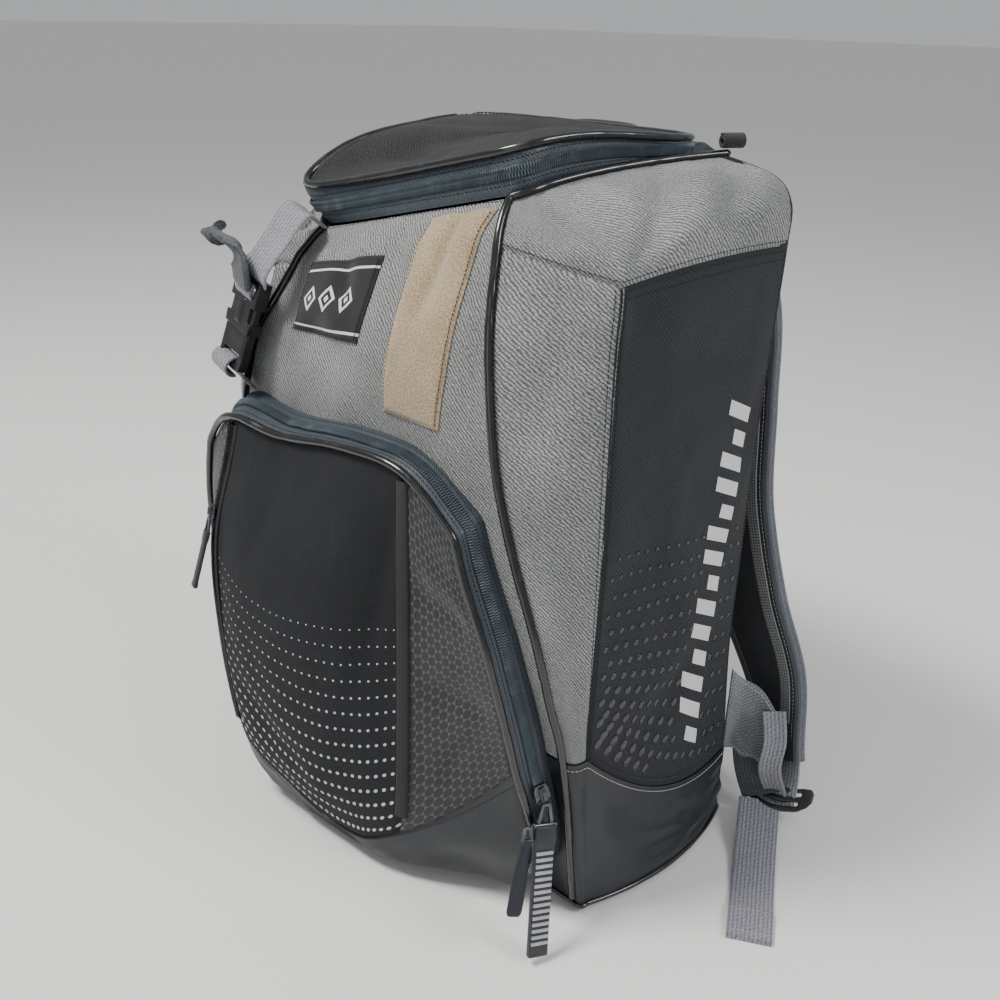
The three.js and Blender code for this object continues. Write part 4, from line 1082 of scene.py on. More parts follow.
WOVEN_BLACK = ClothFinish(
    "black plain weave",
    "woven_black",
    srgb(16, 17, 18),
    srgb(76, 77, 76),
    Weave.PLAIN,
    pitch=0.0024,
    relief=0.0003,
    depth=0.8,
    roughness=0.97,
    mottled=0.7,
    sheen=0.0,
)
PATCH_WEAVE = ClothFinish(
    "patch weave",
    "woven_black",
    srgb(14, 14, 17),
    srgb(36, 36, 42),
    Weave.PLAIN,
    pitch=0.0008,
    printed=Print.PATCH,
    ink=srgb(215, 216, 214),
    extent=(0.0500, 0.063),
)
NAVY_COATED = ClothFinish(
    "navy coated cloth",
    "coated_fabric",
    srgb(13, 17, 24),
    srgb(34, 42, 53),
    Weave.COATED,
    relief=0.0001,
    roughness=0.46,
    sheen=0.0,
    coat=0.12,
    worn=0.6,
)
BAND_COATED = ClothFinish(
    "slate zip tape",
    "zip_tape",
    srgb(40, 50, 58),
    srgb(98, 110, 120),
    Weave.TWILL,
    pitch=0.0021,
    relief=0.0002,
    depth=0.6,
    roughness=0.5,
    sheen=0.0,
    coat=0.1,
    worn=0.35,
)
BLACK_TAPE = ClothFinish(
    "black seam tape", "zip_tape", srgb(14, 15, 18), srgb(36, 38, 44), Weave.RIBBED, pitch=0.0016
)
HONEYCOMB_NET = ClothFinish(
    "black honeycomb net",
    "ripstop",
    srgb(11, 12, 15),
    srgb(30, 31, 36),
    Weave.HONEYCOMB,
    pitch=0.0009,
    relief=0.0006,
    roughness=0.6,
    printed=Print.NET,
    ink=srgb(66, 70, 77),
)
BACK_MESH = ClothFinish(
    "back air mesh",
    "spacer_mesh",
    srgb(14, 15, 17),
    srgb(44, 46, 50),
    Weave.MESH,
    pitch=0.0034,
    relief=0.0007,
)
STRAP_MESH = ClothFinish(
    "strap mesh", "strap_pad", srgb(20, 22, 26), srgb(62, 66, 74), Weave.MESH, pitch=0.0022, relief=0.0004
)
STRAP_BINDING = ClothFinish(
    "strap binding", "strap_pad", srgb(84, 88, 96), srgb(140, 144, 150), Weave.RIBBED, pitch=0.0014
)
HOOK_PILE = ClothFinish(
    "tan pile tape",
    "hook_tape",
    srgb(126, 104, 76),
    srgb(226, 202, 164),
    Weave.PILE,
    relief=0.0012,
    depth=0.6,
    roughness=0.98,
    mottled=0.9,
    sheen=0.4,
)
WEBBING = ClothFinish(
    "gray ribbed webbing",
    "webbing",
    srgb(112, 112, 122),
    srgb(190, 190, 196),
    Weave.RIBBED,
    pitch=0.0028,
    relief=0.0007,
    mottled=0.5,
)
DARK_WEBBING = ClothFinish(
    "dark webbing",
    "webbing",
    srgb(22, 23, 27),
    srgb(60, 62, 68),
    Weave.RIBBED,
    pitch=0.002,
    relief=0.0004,
)
WING_WEAVE = ClothFinish(
    "gray textured webbing",
    "webbing",
    srgb(92, 95, 103),
    srgb(176, 178, 184),
    Weave.PLAIN,
    pitch=0.0030,
    relief=0.0008,
    mottled=0.7,
)
TAIL_WEBBING = ClothFinish(
    "slate webbing",
    "webbing",
    srgb(48, 52, 58),
    srgb(112, 116, 122),
    Weave.RIBBED,
    pitch=0.0024,
    relief=0.0006,
)
LEATHER = ClothFinish(
    "dark leather", "tag_leather", srgb(22, 25, 36), srgb(48, 52, 64), Weave.COATED, roughness=0.55, sheen=0.0
)
DARK_THREAD = HardFinish("dark thread", "gray_twill", srgb(26, 27, 31), srgb(50, 52, 56), 0.8)
PALE_THREAD = HardFinish("pale thread", "webbing", srgb(170, 170, 165), srgb(200, 200, 195), 0.8)
PIPING = HardFinish(
    "glossy vinyl piping", "piping_vinyl", srgb(14, 14, 16), srgb(34, 34, 37), 0.2, 0.2, coat=0.5
)
COIL = HardFinish("nylon coil", "zip_coil", srgb(92, 104, 113), srgb(138, 148, 155), 0.34, coat=0.2)
DARK_COIL = HardFinish("dark nylon coil", "zip_coil", srgb(20, 22, 26), srgb(52, 56, 62), 0.35)
ACETAL = HardFinish("black acetal", "buckle_plastic", srgb(15, 16, 18), srgb(42, 43, 46), 0.28, coat=0.2)
RUBBER = HardFinish("pull rubber", "pull_rubber", srgb(34, 36, 41), srgb(66, 68, 74), 0.45)
GUNMETAL = HardFinish(
    "gunmetal", "zip_metal", srgb(84, 86, 92), srgb(160, 162, 168), 0.28, 0.2, metallic=0.9
)
SILVER = HardFinish(
    "silver ribs", "pull_rubber", srgb(168, 170, 176), srgb(205, 206, 210), 0.35, metallic=0.6
)
RAISED_INK = HardFinish(
    "raised black ink", "black_twill", srgb(24, 25, 30), srgb(52, 54, 60), 0.24, coat=0.4
)


def settle(piece, finish: ClothFinish | HardFinish, *stands_for: str):
    """Gives a finished piece its look and its place in the frame.

    Args:
        piece: The object.
        finish: Its look.
        stands_for: CAD nodes that it stands for.

    Returns:
        The object.
    """
    stem = piece.name.split(".")[0]
    kind = "cloth" if isinstance(finish, ClothFinish) else "form"
    piece.name = piece.data.name = f"{stem}_{kind}" if stands_for else stem
    piece.data.materials.clear()
    piece.data.materials.append(finish.material())
    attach(piece, "root")
    if stands_for:
        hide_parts(*stands_for)
    LOG.info("%s: %d faces", piece.name, len(piece.data.polygons))
    return piece


# ---------------------------------------------------------------- body

BODY_LINES = ("pipe", "edge", "side", "back")
BODY_COLUMNS = [f"{name}_{k}" for name in BODY_LINES for k in "xyz"] + ["swell"]
BODY_LEVELS = (
    (0.952, -0.900, 0.000, 1.000, -0.840, 0.000, 1.095, 0.055, 0.000, 1.036, 0.950, 0.000, 0.00),
    (0.980, -0.975, 0.020, 1.022, -0.905, 0.020, 1.125, 0.058, 0.020, 1.062, 1.020, 0.020, 0.02),
    (0.958, -1.165, 0.266, 1.000, -0.975, 0.262, 1.056, 0.033, 0.139, 1.052, 1.040, 0.122, 0.05),
    (0.922, -1.270, 0.359, 1.000, -0.975, 0.359, 1.026, 0.033, 0.316, 1.020, 1.040, 0.306, 0.06),
    (0.868, -1.345, 0.451, 1.000, -0.965, 0.451, 1.026, 0.040, 0.451, 1.018, 1.045, 0.451, 0.08),
    (0.740, -1.370, 0.574, 1.000, -0.950, 0.574, 1.024, 0.053, 0.574, 1.018, 1.055, 0.574, 0.10),
    (0.655, -1.370, 0.681, 0.994, -0.935, 0.681, 1.020, 0.070, 0.681, 1.018, 1.075, 0.681, 0.10),
    (0.566, -1.245, 0.812, 0.988, -0.920, 0.812, 1.014, 0.098, 0.812, 1.022, 1.115, 0.812, 0.10),
    (0.494, -1.015, 0.916, 0.980, -0.885, 0.895, 1.002, 0.128, 0.905, 1.024, 1.140, 0.903, 0.08),
    (0.470, -0.925, 0.941, 0.905, -0.820, 0.932, 0.965, 0.130, 0.956, 1.016, 1.155, 0.956, 0.07),
    (0.452, -0.835, 0.958, 0.702, -0.680, 0.956, 0.820, 0.180, 0.990, 0.930, 1.165, 0.988, 0.06),
    (0.435, -0.745, 0.970, 0.488, -0.487, 0.981, 0.571, 0.260, 0.996, 0.702, 1.180, 1.006, 0.05),
)


@dataclass
class Body:
    """The stuffed body: base, panels of cloth, piping, and the trim of its front.

    Columns run round it from the left front piping: 0 left piping, 8 right piping, 10 front edge
    of the right side, 14 right back corner, 20 left back corner, 24 left edge and 26 again 0.
    Rows run up it: 0 floor, 2 top of the base, 8 seam of the shoulders, 11 rim of the top.
    """

    half_width: float = 168.0
    half_depth: float = 78.0
    height: float = 474.0
    cloth: float = 2.0
    coated: float = 2.4
    back_pad: float = 9.0
    pipe: float = 2.6
    swell: float = 0.03
    spacing: float = 3.2
    draw: tuple[float, float, float, float] = (-18.0, 30.0, -10.0, -38.0)
    dot_rows: int = 14
    dot_pitch: float = 10.0
    dot_slope: float = 0.16
    cuts: dict[str, Cut] = field(default_factory=dict)

    def level(self, v: Array) -> dict[str, Array]:
        """Sizes of the ring at rows v.

        Args:
            v: Rows, whole or between.

        Returns:
            A value in millimetres for each column of the table of levels.
        """
        rows = np.array(BODY_LEVELS)
        upper = spline(rows[1:], (v - 1.0) / (len(rows) - 2))
        turn = np.clip(v, 0.0, 1.0)[..., None] * math.pi / 2
        low = mix(rows[0], rows[1], np.sin(turn))
        low[..., 2::3] = mix(rows[0], rows[1], 1.0 - np.cos(turn))[..., 2::3]
        found = np.where((v < 1.0)[..., None], low, upper)
        scale = [self.half_width, self.half_depth, self.height] * 4 + [self.half_depth]
        return {name: found[..., k] * scale[k] for k, name in enumerate(BODY_COLUMNS)}

    def drawn(self, p: Array) -> Array:
        """Moves points of the front left corner as the buckle strap draws it down and squeezes it in.

        Args:
            p: Points of the body before the strap is tightened.

        Returns:
            The points after.
        """
        x, y, z = p[..., 0], p[..., 1], p[..., 2]
        deep, share = self.half_depth, z / self.height
        reach = np.clip((74.0 - x) / 148.0, 0.0, 1.0)
        height = smooth(0.7, 0.94, share)
        corner = 1.0 - smooth(-0.78 * deep, -0.32 * deep, y)
        side = 1.0 - smooth(0.13 * deep, 1.18 * deep, y)
        front = 0.62 * corner + 0.38 * side
        out = reach * side * (smooth(0.5, 0.64, share) - 0.4 * smooth(0.72, 0.84, share))
        flank = smooth(0.6 * self.half_width, 0.95 * self.half_width, -x)
        squeezed = smooth(0.68, 0.92, share) * flank * (1.0 - smooth(-0.2 * deep, 0.8 * deep, y))
        out_x, in_x, down_y, down_z = self.draw
        moved = [
            x + out_x * out + (in_x - out_x) * squeezed,
            y + down_y * reach * height * front,
            z + down_z * reach * height * front,
        ]
        return np.stack(moved, axis=-1)

    def point(self, u: Array, v: Array) -> Array:
        """Places on the body.

        Args:
            u: Columns round it.
            v: Rows up it, of the same shape.

        Returns:
            Points in millimetres.
        """
        u = np.mod(u, 26.0)
        sign = np.where(u > 20.0, -1.0, 1.0)
        u = np.where(u > 20.0, 34.0 - u, u)
        at = self.level(v)
        corner = {name: np.stack([at[f"{name}_{k}"] for k in "xyz"], axis=-1) for name in BODY_LINES}
        share = u / 4.0 - 1.0
        front_y = at["pipe_y"] - at["swell"] * (1.0 - share**2)
        front = np.stack([at["pipe_x"] * share, front_y, at["pipe_z"]], axis=-1)
        t = np.clip((u - 8.0) / 2.0, 0.0, 1.0)
        bow = self.swell * self.half_depth * np.sin(math.pi * t)
        gusset = mix(corner["pipe"], corner["edge"], t[..., None]) + np.stack([bow, -bow, 0 * bow], axis=-1)
        t = np.clip((u - 10.0) / 4.0, 0.0, 1.0)[..., None]
        bend = corner["side"] - 0.5 * (corner["edge"] + corner["back"])
        flank = mix(corner["edge"], corner["back"], t) + bend * 4.0 * t * (1.0 - t)
        share = 1.0 - (u - 14.0) / 3.0
        back_y = at["back_y"] + self.swell * self.half_depth * (1.0 - share**2)
        back = np.stack([at["back_x"] * share, back_y, at["back_z"]], axis=-1)
        u = u[..., None]
        ring = np.where(u < 8.0, front, np.where(u < 10.0, gusset, np.where(u < 14.0, flank, back)))
        ring[..., 0] *= sign
        return self.drawn(ring)

    def facing(self, u: Array, v: Array) -> Array:
        """Outward vectors of the body at columns u and rows v."""
        step = 0.04
        across = self.point(u + step, v) - self.point(u - step, v)
        upward = self.point(u, np.minimum(v + step, 11.0)) - self.point(u, v - step)
        return unit(np.cross(across, upward))

    def column_row(self, x: Array, z: Array) -> tuple[Array, Array]:
        """Column and row of a place on the front, given before the corner is drawn down."""
        rows = np.linspace(1.0, 11.0, 400)
        at = self.level(rows)
        v = np.interp(z, at["pipe_z"], rows)
        half = np.interp(z, at["pipe_z"], at["pipe_x"])
        return 4.0 + 4.0 * np.asarray(x, float) / half, v

    def front(self, x: float, z: float) -> Array:
        """Place on the front at x and z, before the corner is drawn down."""
        u, v = self.column_row(np.array([x]), np.array([z]))
        at = self.level(v)
        y = at["pipe_y"] - at["swell"] * (1.0 - (u / 4.0 - 1.0) ** 2)
        return np.array([x, y[0], z])

    def grid(self, columns: tuple[float, float], rows: tuple[float, float], spacing: float):
        """Places of a cut, dense at its edges.

        Args:
            columns: First and last column.
            rows: First and last row.
            spacing: Distance between places in millimetres.

        Returns:
            The points, their columns and their rows.
        """
        u, v = np.linspace(*columns, 60), np.linspace(*rows, 60)
        width = distances(self.point(u, u * 0 + sum(rows) / 2))[-1]
        height = distances(self.point(v * 0 + sum(columns) / 2, v))[-1]
        u = mix(columns[0], columns[1], spread(width, spacing))
        v = mix(rows[0], rows[1], spread(height, spacing))
        return self.point(*np.meshgrid(u, v)), u, v

    def add_cut(self, name: str, columns, rows, spacing: float, **folds) -> Cut:
        """Makes one cut of the body's cloth and keeps it."""
        places, u, v = self.grid(columns, rows, spacing)
        self.cuts[name] = Cut(name, places, u, v, **folds)
        return self.cuts[name]

    def build_panels(self) -> None:
        """The front, back, gussets, side panels and shoulders."""
        near, far = self.spacing, 1.5 * self.spacing
        front = (
            Crease((0.18, 0.98), (0.42, 0.80), 9.0, 3.2),
            Crease((0.55, 0.99), (0.62, 0.74), 8.0, 2.6),
            Crease((0.86, 0.99), (0.70, 0.78), 8.0, 3.8),
            Crease((0.20, 0.74), (0.48, 0.70), 10.0, 2.3),
        )
        valley = (
            Crease((0.70, 1.0), (0.34, 0.0), 10.0, 6.7),
            Crease((0.22, 0.96), (0.10, 0.1), 8.0, 3.8),
            Crease((0.92, 0.95), (0.72, 0.05), 11.0, 3.5),
        )
        long_folds = (
            Crease((0.55, 1.0), (0.25, 0.62), 9.0, 2.9),
            Crease((0.45, 0.50), (0.70, 0.08), 10.0, 2.6),
        )
        soft = (
            Crease((0.05, 0.93), (0.75, 0.80), 12.0, 2.2),
            Crease((0.20, 0.12), (0.85, 0.26), 14.0, 2.3),
            Crease((0.10, 0.48), (0.55, 0.40), 16.0, 1.6),
        )
        panels = (
            ("front_panel", (0, 8), (2, 11), near, self.cloth, front, 2.1, GRAY_TWILL),
            ("right_gusset", (8, 10), (2, 8), near, self.cloth, long_folds, 1.2, GRAY_TWILL),
            ("left_gusset", (24, 26), (2, 8), far, self.cloth, long_folds, 1.2, GRAY_TWILL),
            ("right_side_panel", (10, 14), (2, 8), near, self.cloth, soft, 1.5, BAR_TWILL),
            ("left_side_panel", (20, 24), (2, 8), far, self.cloth, soft, 1.1, BLACK_TWILL),
            ("right_shoulder", (8, 14), (8, 11), near * 0.8, self.cloth, valley, 1.8, GRAY_TWILL),
            ("left_shoulder", (20, 26), (8, 11), near, self.cloth, valley, 1.4, GRAY_TWILL),
            ("back_panel", (14, 20), (2, 11), far, self.back_pad, (), 0.8, BACK_MESH),
        )
        for seed, (name, columns, rows, spacing, thick, folds, billow, finish) in enumerate(panels):
            extra = {"thickness": thick, "creases": folds, "billow": billow, "seed": 20 + 7 * seed}
            cut = self.add_cut(name, columns, rows, spacing, **extra)
            piece = settle(cut.build(), finish, name)

    def build_base(self) -> None:
        """The coated cup under the body, with soft folds, and the shiny bead round its foot."""
        u = np.linspace(0.0, 26.0, 340, endpoint=False)
        v = np.concatenate([np.linspace(0.0, 1.0, 9), np.linspace(1.0, 2.0, 36)[1:], [1.995]])
        rings = self.point(*np.meshgrid(u, v))
        flat = flat_layout(rings, wrap=True)
        x, y = flat[:, :-1, 0], flat[:, :-1, 1]
        facing = self.facing(*np.meshgrid(u, np.maximum(v, 0.05)))
        facing[..., 2] = 0.0
        folds = 1.7 * noise(x / 46.0, y / 20.0, 61) + 0.6 * noise(x / 17.0, y / 12.0, 62)
        folds = folds * smooth(4.0, 22.0, y) * (1.0 - smooth(0.7, 1.0, y / y.max()))
        folds[-1] -= 1.5
        outer = rings + unit(facing) * folds[..., None]
        inner = outer[-1:0:-3] - unit(facing[-1:0:-3]) * self.coated
        inner[-1, :, 2] = self.coated
        flat = np.concatenate([flat, flat[-1:0:-3]])
        settle(loft("base_cup", np.concatenate([outer, inner]), flat), NAVY_COATED, "base_cup")
        seam = np.linspace(0.0, 26.0, 500)
        line = self.point(seam, seam * 0 + 0.72) + unit(self.facing(seam, seam * 0 + 0.72)) * 0.4
        settle(tube("base_piping", line[:-1], 1.9, wobble=0.05), PIPING)
        for name, ends in (("right", (8.1, 14.0)), ("left", (20.0, 25.9))):
            seam = np.linspace(*ends, 260)
            row = seam * 0 + 1.95
            line = self.point(seam, row) + self.facing(seam, row) * 0.4
            thread = stitches(f"{name}_base_stitches", line, self.facing(seam, row), width=0.7)
            settle(thread, PALE_THREAD)

    def build_piping(self) -> None:
        """The glossy bead that runs up each front seam and round the rim to the back."""
        for name, (pipe, back) in {"right": (8.0, 14.0), "left": (26.0, 20.0)}.items():
            v = np.linspace(1.0, 10.85, 330)
            u = np.linspace(pipe, back, 130)
            seam = self.point(v * 0 + pipe, v) + self.facing(v * 0 + pipe, v) * 0.45 * self.pipe
            below = self.point(u, u * 0 + 10.0) - self.point(u, u * 0 + 11.0)
            rim = self.point(u, u * 0 + 11.0) + unit(below) * self.pipe
            rim = rim + self.facing(u, u * 0 + 11.0) * 0.6 * self.pipe
            line = soften(resample(np.concatenate([seam[:-4], rim[4:]]), 2.0)[0], 3)
            bead = tube(f"{name}_body_piping", line, self.pipe, wobble=0.07, seed=5)
            settle(bead, PIPING, f"{name}_body_piping")

    def build_stitching(self) -> None:
        """Rows of stitches beside the seams of the side panels, the front and the shoulders."""
        rows = (
            ("right_side_panel", "t", (3.2, 8.2), DARK_THREAD),
            ("right_side_panel", "l", (3.2,), DARK_THREAD),
            ("right_side_panel", "r", (3.4,), DARK_THREAD),
            ("right_side_panel", "b", (3.4, 6.8), DARK_THREAD),
            ("right_shoulder", "b", (3.0,), DARK_THREAD),
            ("right_gusset", "r", (3.0,), DARK_THREAD),
            ("front_panel", "t", (3.2,), DARK_THREAD),
            ("left_side_panel", "t", (3.2,), DARK_THREAD),
        )
        for name, side, insets, finish in rows:
            for k, inset in enumerate(insets):
                line, facing = self.cuts[name].line(side, inset, 0.15)
                settle(stitches(f"{name}_stitches_{side}{k}", line[3:-3], facing[3:-3]), finish)

    def build_dots(self) -> None:
        """The raised dots low on the right side panel, larger towards its foot, beside the bars."""
        cut = self.cuts["right_side_panel"]
        width, height = cut.flat[0, -1, 0], cut.flat[-1, 0, 1]
        origins, facings, sizes = [], [], []
        left, across, *_, lean = (value / MM for value in BAR_TWILL.extent)
        for row in range(self.dot_rows):
            share = row / (self.dot_rows - 1)
            radius = mix(1.5, 3.8, share)
            base = mix(0.50 * height, 0.03 * height, share)
            for column in range(int(width / self.dot_pitch) + 1):
                x = 5.0 + self.dot_pitch * (column + 0.5 * (row % 2))
                y = base - self.dot_slope * (x - width / 2)
                start = left + lean * MM * y
                barred = start - radius < x < start + across + radius and y > 26.0
                inside = radius + 5.0 < x < width - radius - 5.0 and radius + 9.0 < y < height
                if barred or not inside:
                    continue
                u = np.interp(x, cut.flat[0, :, 0], cut.across)
                v = np.interp(y, cut.flat[:, 0, 1], cut.upward)
                place, facing = cut.at(np.array(u), np.array(v))
                origins.append(place)
                facings.append(facing)
                sizes.append(radius)
        origins, facings = np.array(origins), np.array(facings)
        sizes = np.array(sizes)[:, None]
        facets = 12
        turn = np.linspace(0.0, 2.0 * math.pi, facets, endpoint=False)
        disc = np.stack([np.cos(turn), np.sin(turn), turn * 0], axis=1)
        rings = [disc + [0, 0, -0.3], disc + [0, 0, 0.35], disc * 0.72 + [0, 0, 0.8]]
        shape = np.vstack([*rings, [[0, 0, 0.9], [0, 0, -0.3]]])
        pairs = [(k, (k + 1) % facets) for k in range(facets)]
        faces = [[r + k, r + n, r + facets + n, r + facets + k] for r in (0, facets) for k, n in pairs]
        faces += [[2 * facets + k, 2 * facets + n, 3 * facets] for k, n in pairs]
        faces += [[n, k, 3 * facets + 1] for k, n in pairs]
        across = unit(np.cross(np.array([0.0, 0.0, 1.0]), facings))
        axes = (across * sizes, np.cross(facings, across) * sizes, facings)
        settle(scatter("right_side_dots", shape, faces, origins, axes), RAISED_INK)

    def trim(self, name: str, x: tuple[float, float], z: tuple[float, float], thickness: float):
        """A thin flat piece sewn on the front.

        Args:
            name: Name of the piece.
            x: Its left and right edges.
            z: Its bottom and top edges.
            thickness: Its thickness.

        Returns:
            The object and its cut.
        """
        across = mix(x[0], x[1], spread(x[1] - x[0], 2.2))
        upward = mix(z[0], z[1], spread(z[1] - z[0], 2.2))
        u, v = self.column_row(*np.meshgrid(across, upward))
        places, facing = self.cuts["front_panel"].at(u, v)
        lifted = places + facing * (0.9 + thickness)
        cut = Cut(name, lifted, across, upward, thickness + 1.2, 90, 0.25, 30.0, 0.25, thickness)
        return cut.build(), cut

    def build_trim(self) -> None:
        """The woven patch and the strip of tan pile tape, each with its stitching."""
        pieces = (
            ("front_patch", (-61.0, 2.0), (370.0, 436.0), 1.2, PATCH_WEAVE, DARK_THREAD, "lrbt"),
            ("hook_strip", (26.5, 70.5), (329.0, 454.0), 1.8, HOOK_PILE, DARK_THREAD, "lr"),
        )
        for name, x, z, thickness, finish, thread, sides in pieces:
            piece, cut = self.trim(name, x, z, thickness)
            settle(piece, finish, name)
            for side in sides:
                line, facing = cut.line(side, 2.2, 0.1)
                settle(stitches(f"{name}_stitches_{side}", line[3:-3], facing[3:-3], 2.6, 0.5), thread)

    def build(self) -> None:
        """Builds the body."""
        self.build_base()
        self.build_panels()
        self.build_piping()
        self.build_stitching()
        self.build_dots()
        self.build_trim()


def soften(line: Array, times: int, wrap: bool = False) -> Array:
    """Rounds a line of points off.

    Args:
        line: Points at even spacing.
        times: How often each point moves towards its neighbours.
        wrap: True where the line is closed.

    Returns:
        The rounded line, with its ends kept.
    """
    line = line.copy()
    for _ in range(times):
        middle = 0.5 * line + 0.25 * (np.roll(line, 1, 0) + np.roll(line, -1, 0))
        if not wrap:
            middle[[0, -1]] = line[[0, -1]]
        line = middle
    return line


def zip_teeth(name: str, line: Array, facing: Array, finish: HardFinish, *nodes: str) -> None:
    """Two rows of coil teeth that mesh along a line, on a low bead of cord.

    Args:
        name: Name of the teeth.
        line: Points of the line, on the cloth.
        facing: Outward vector at each point.
        finish: Look of the coil.
        nodes: CAD nodes that it stands for.
    """
    pitch, row_offset, lift = 1.7, 1.55, 0.75
    places, facing = resample(line, pitch, facing)
    facing = unit(facing)
    along = unit(np.gradient(places, axis=0))
    across = unit(np.cross(facing, along))
    points, faces = spindle(4.6, 1.35, 2.3)
    shifts = ((-1, 0.0), (1, pitch / 2))
    rows = [places + across * side * row_offset + along * shift + facing * lift for side, shift in shifts]
    origins = np.concatenate(rows)
    axes = [np.concatenate([part, part]) for part in (across, along, facing)]
    settle(scatter(name, points, faces, origins, axes), finish, *nodes)
    settle(ribbon(f"{name}_cord", places + facing * 0.25, across, 7.4, 0.9), DARK_COIL)


# ---------------------------------------------------------------- lid


@dataclass
class Lid:
    """The drooping lid: zipped band, crowned woven panel, piping and rolled zip end."""

    body: Body
    rise: float = 24.0
    crown: float = 7.0
    cloth: float = 2.0
    gap: float = 0.4
    rounding: int = 170
    tip: tuple[float, float, float] = (-27.0, -9.0, -5.0)

    def edge(self, u: Array, share: float) -> Array:
        """Line round the lid at a share of the band's rise.

        Args:
            u: Columns of the body.
            share: 0 at the rim of the body, 1 at the lid's piping.

        Returns:
            Points of the line.
        """
        rim = self.body.point(u, u * 0 + 11.0)
        deep = self.body.half_depth
        to_back = smooth(-0.4 * deep, 1.18 * deep, rim[:, 1])
        rise = self.rise * mix(1.0, 0.3, to_back) * share
        centre = np.stack([0 * u, 0 * u + 0.4 * deep, rim[:, 2]], axis=1)
        line = rim + unit(centre - rim) * 0.16 * rise[:, None]
        line[:, 2] += rise + self.gap
        tip = np.exp(-(((np.mod(u + 13.0, 26.0) - 13.0 + 0.4) / 2.0) ** 2))
        return line + (share * tip)[:, None] * np.array(self.tip)

    def line(self, share: float, count: int = 420) -> tuple[Array, Array]:
        """The closed line at a share of the band, rounded off at its corners.

        Args:
            share: 0 at the rim of the body, 1 at the lid's piping.
            count: Number of points.

        Returns:
            Its points and their columns, from the left back corner round the front.
        """
        u = np.linspace(-6.0, 20.0, count, endpoint=False)
        line = self.edge(u, share)
        return mix(line, soften(line, self.rounding, wrap=True), 0.25 + 0.75 * share), u

    def build_band(self) -> None:
        """The coated band with its zip and two rows of stitches."""
        shares = spread(self.rise, 2.0)
        lines = [self.line(share)[0] for share in shares]
        u = self.line(0.0)[1]
        keep = u <= 14.0
        places = np.stack(lines)[:, keep]
        cut = Cut("lid_zip_band", places, u[keep], shares, self.cloth, 71, 0.5, 30.0, 0.5, 1.0, sides="bt")
        settle(cut.build(), BAND_COATED, "lid_zip_band")
        line, facing = cut.line("b", 0.5 * cut.flat[-1, 0, 1], 0.2)
        zip_teeth("lid_zip_coil", line[12:-10], facing[12:-10], COIL, "lid_zip_coil")
        for k, share in enumerate((0.24, 0.8)):
            line, facing = cut.line("b", share * cut.flat[-1, 0, 1], 0.1)
            settle(stitches(f"lid_band_stitches_{k}", line[4:-4], facing[4:-4]), DARK_THREAD)

    def build_panel(self) -> None:
        """The crowned panel, with soft creases across it."""
        edge = self.line(1.0, 260)[0]
        edge[:, 2] += 0.4
        centre = np.array([0.0, 0.25 * self.body.half_depth, edge[:, 2].mean()])
        shares = np.concatenate([np.linspace(0.02, 0.95, 44), [0.965, 0.98, 0.99, 1.0]])
        rings = centre + (edge - centre)[None] * shares[:, None, None]
        x, y = rings[..., 0], rings[..., 1]
        lift = self.crown * (1.0 - shares[:, None] ** 2.4)
        size = (np.ptp(edge[:, 0]), np.ptp(edge[:, 1]))
        creases = (
            Crease((0.12, 0.30), (0.55, 0.12), 8.0, 2.2),
            Crease((0.30, 0.80), (0.72, 0.36), 9.0, 2.6),
            Crease((0.62, 0.88), (0.92, 0.42), 9.0, 2.0),
            Crease((0.10, 0.55), (0.42, 0.62), 8.0, 1.6),
        )
        corner = edge.min(axis=0)
        folds = sum(fold.height(x - corner[0], y - corner[1], size) for fold in creases)
        folds = folds + 1.4 * noise(x / 44.0, y / 36.0, 81) + 0.5 * noise(x / 17.0, y / 15.0, 82)
        fade = 1.0 - smooth(0.82, 0.98, shares[:, None])
        rings[..., 2] += lift + folds * fade + self.cloth - 1.2 * smooth(0.96, 1.0, shares[:, None])
        under = rings[::-3].copy()
        under[..., 2] -= self.cloth
        whole = np.concatenate([rings, under])
        flat = np.concatenate([whole, whole[:, :1]], axis=1)[..., :2]
        settle(loft("lid_panel", whole, flat), WOVEN_BLACK, "lid_panel")
        inset = centre + (edge - centre) * 0.955
        inset[:, 2] = rings[int(np.searchsorted(shares, 0.955)), :, 2] + 0.3
        settle(stitches("lid_panel_stitches", inset, inset * 0 + [0, 0, 1]), DARK_THREAD)
        out = unit((edge - centre) * [1, 1, 0])
        line = edge + out * 1.6 + [0, 0, 0.6]
        line = resample(np.concatenate([line, line[:1]]), 2.0)[0][3:-3]
        settle(tube("lid_piping", line, self.body.pipe, wobble=0.07, seed=8), PIPING, "lid_piping")

    def build_zip_end(self) -> None:
        """The rolled end of the zip tape at the right back corner."""
        low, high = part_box("lid_zip_end")
        middle = np.array((low + high) / 2) / MM
        turn = np.linspace(0.0, 2.35 * 2.0 * math.pi, 64)
        radius = mix(1.9, 4.6, np.linspace(0.0, 1.0, 64))
        spiral = np.stack([np.cos(turn) * radius, turn * 0, np.sin(turn) * radius], axis=1)
        yaw = math.radians(28.0)
        way = np.array([math.sin(yaw), math.cos(yaw), 0.0])
        side = np.array([math.cos(yaw), -math.sin(yaw), 0.0])
        line = middle + spiral[:, :1] * side + spiral[:, 2:] * np.array([0.0, 0.0, 1.0])
        across = np.broadcast_to(way, line.shape)
        settle(ribbon("lid_zip_end", line, across, 15.0, 1.0), DARK_WEBBING, "lid_zip_end")

    def build(self) -> None:
        """Builds the lid."""
        self.build_band()
        self.build_panel()
        self.build_zip_end()


# ---------------------------------------------------------------- front pocket

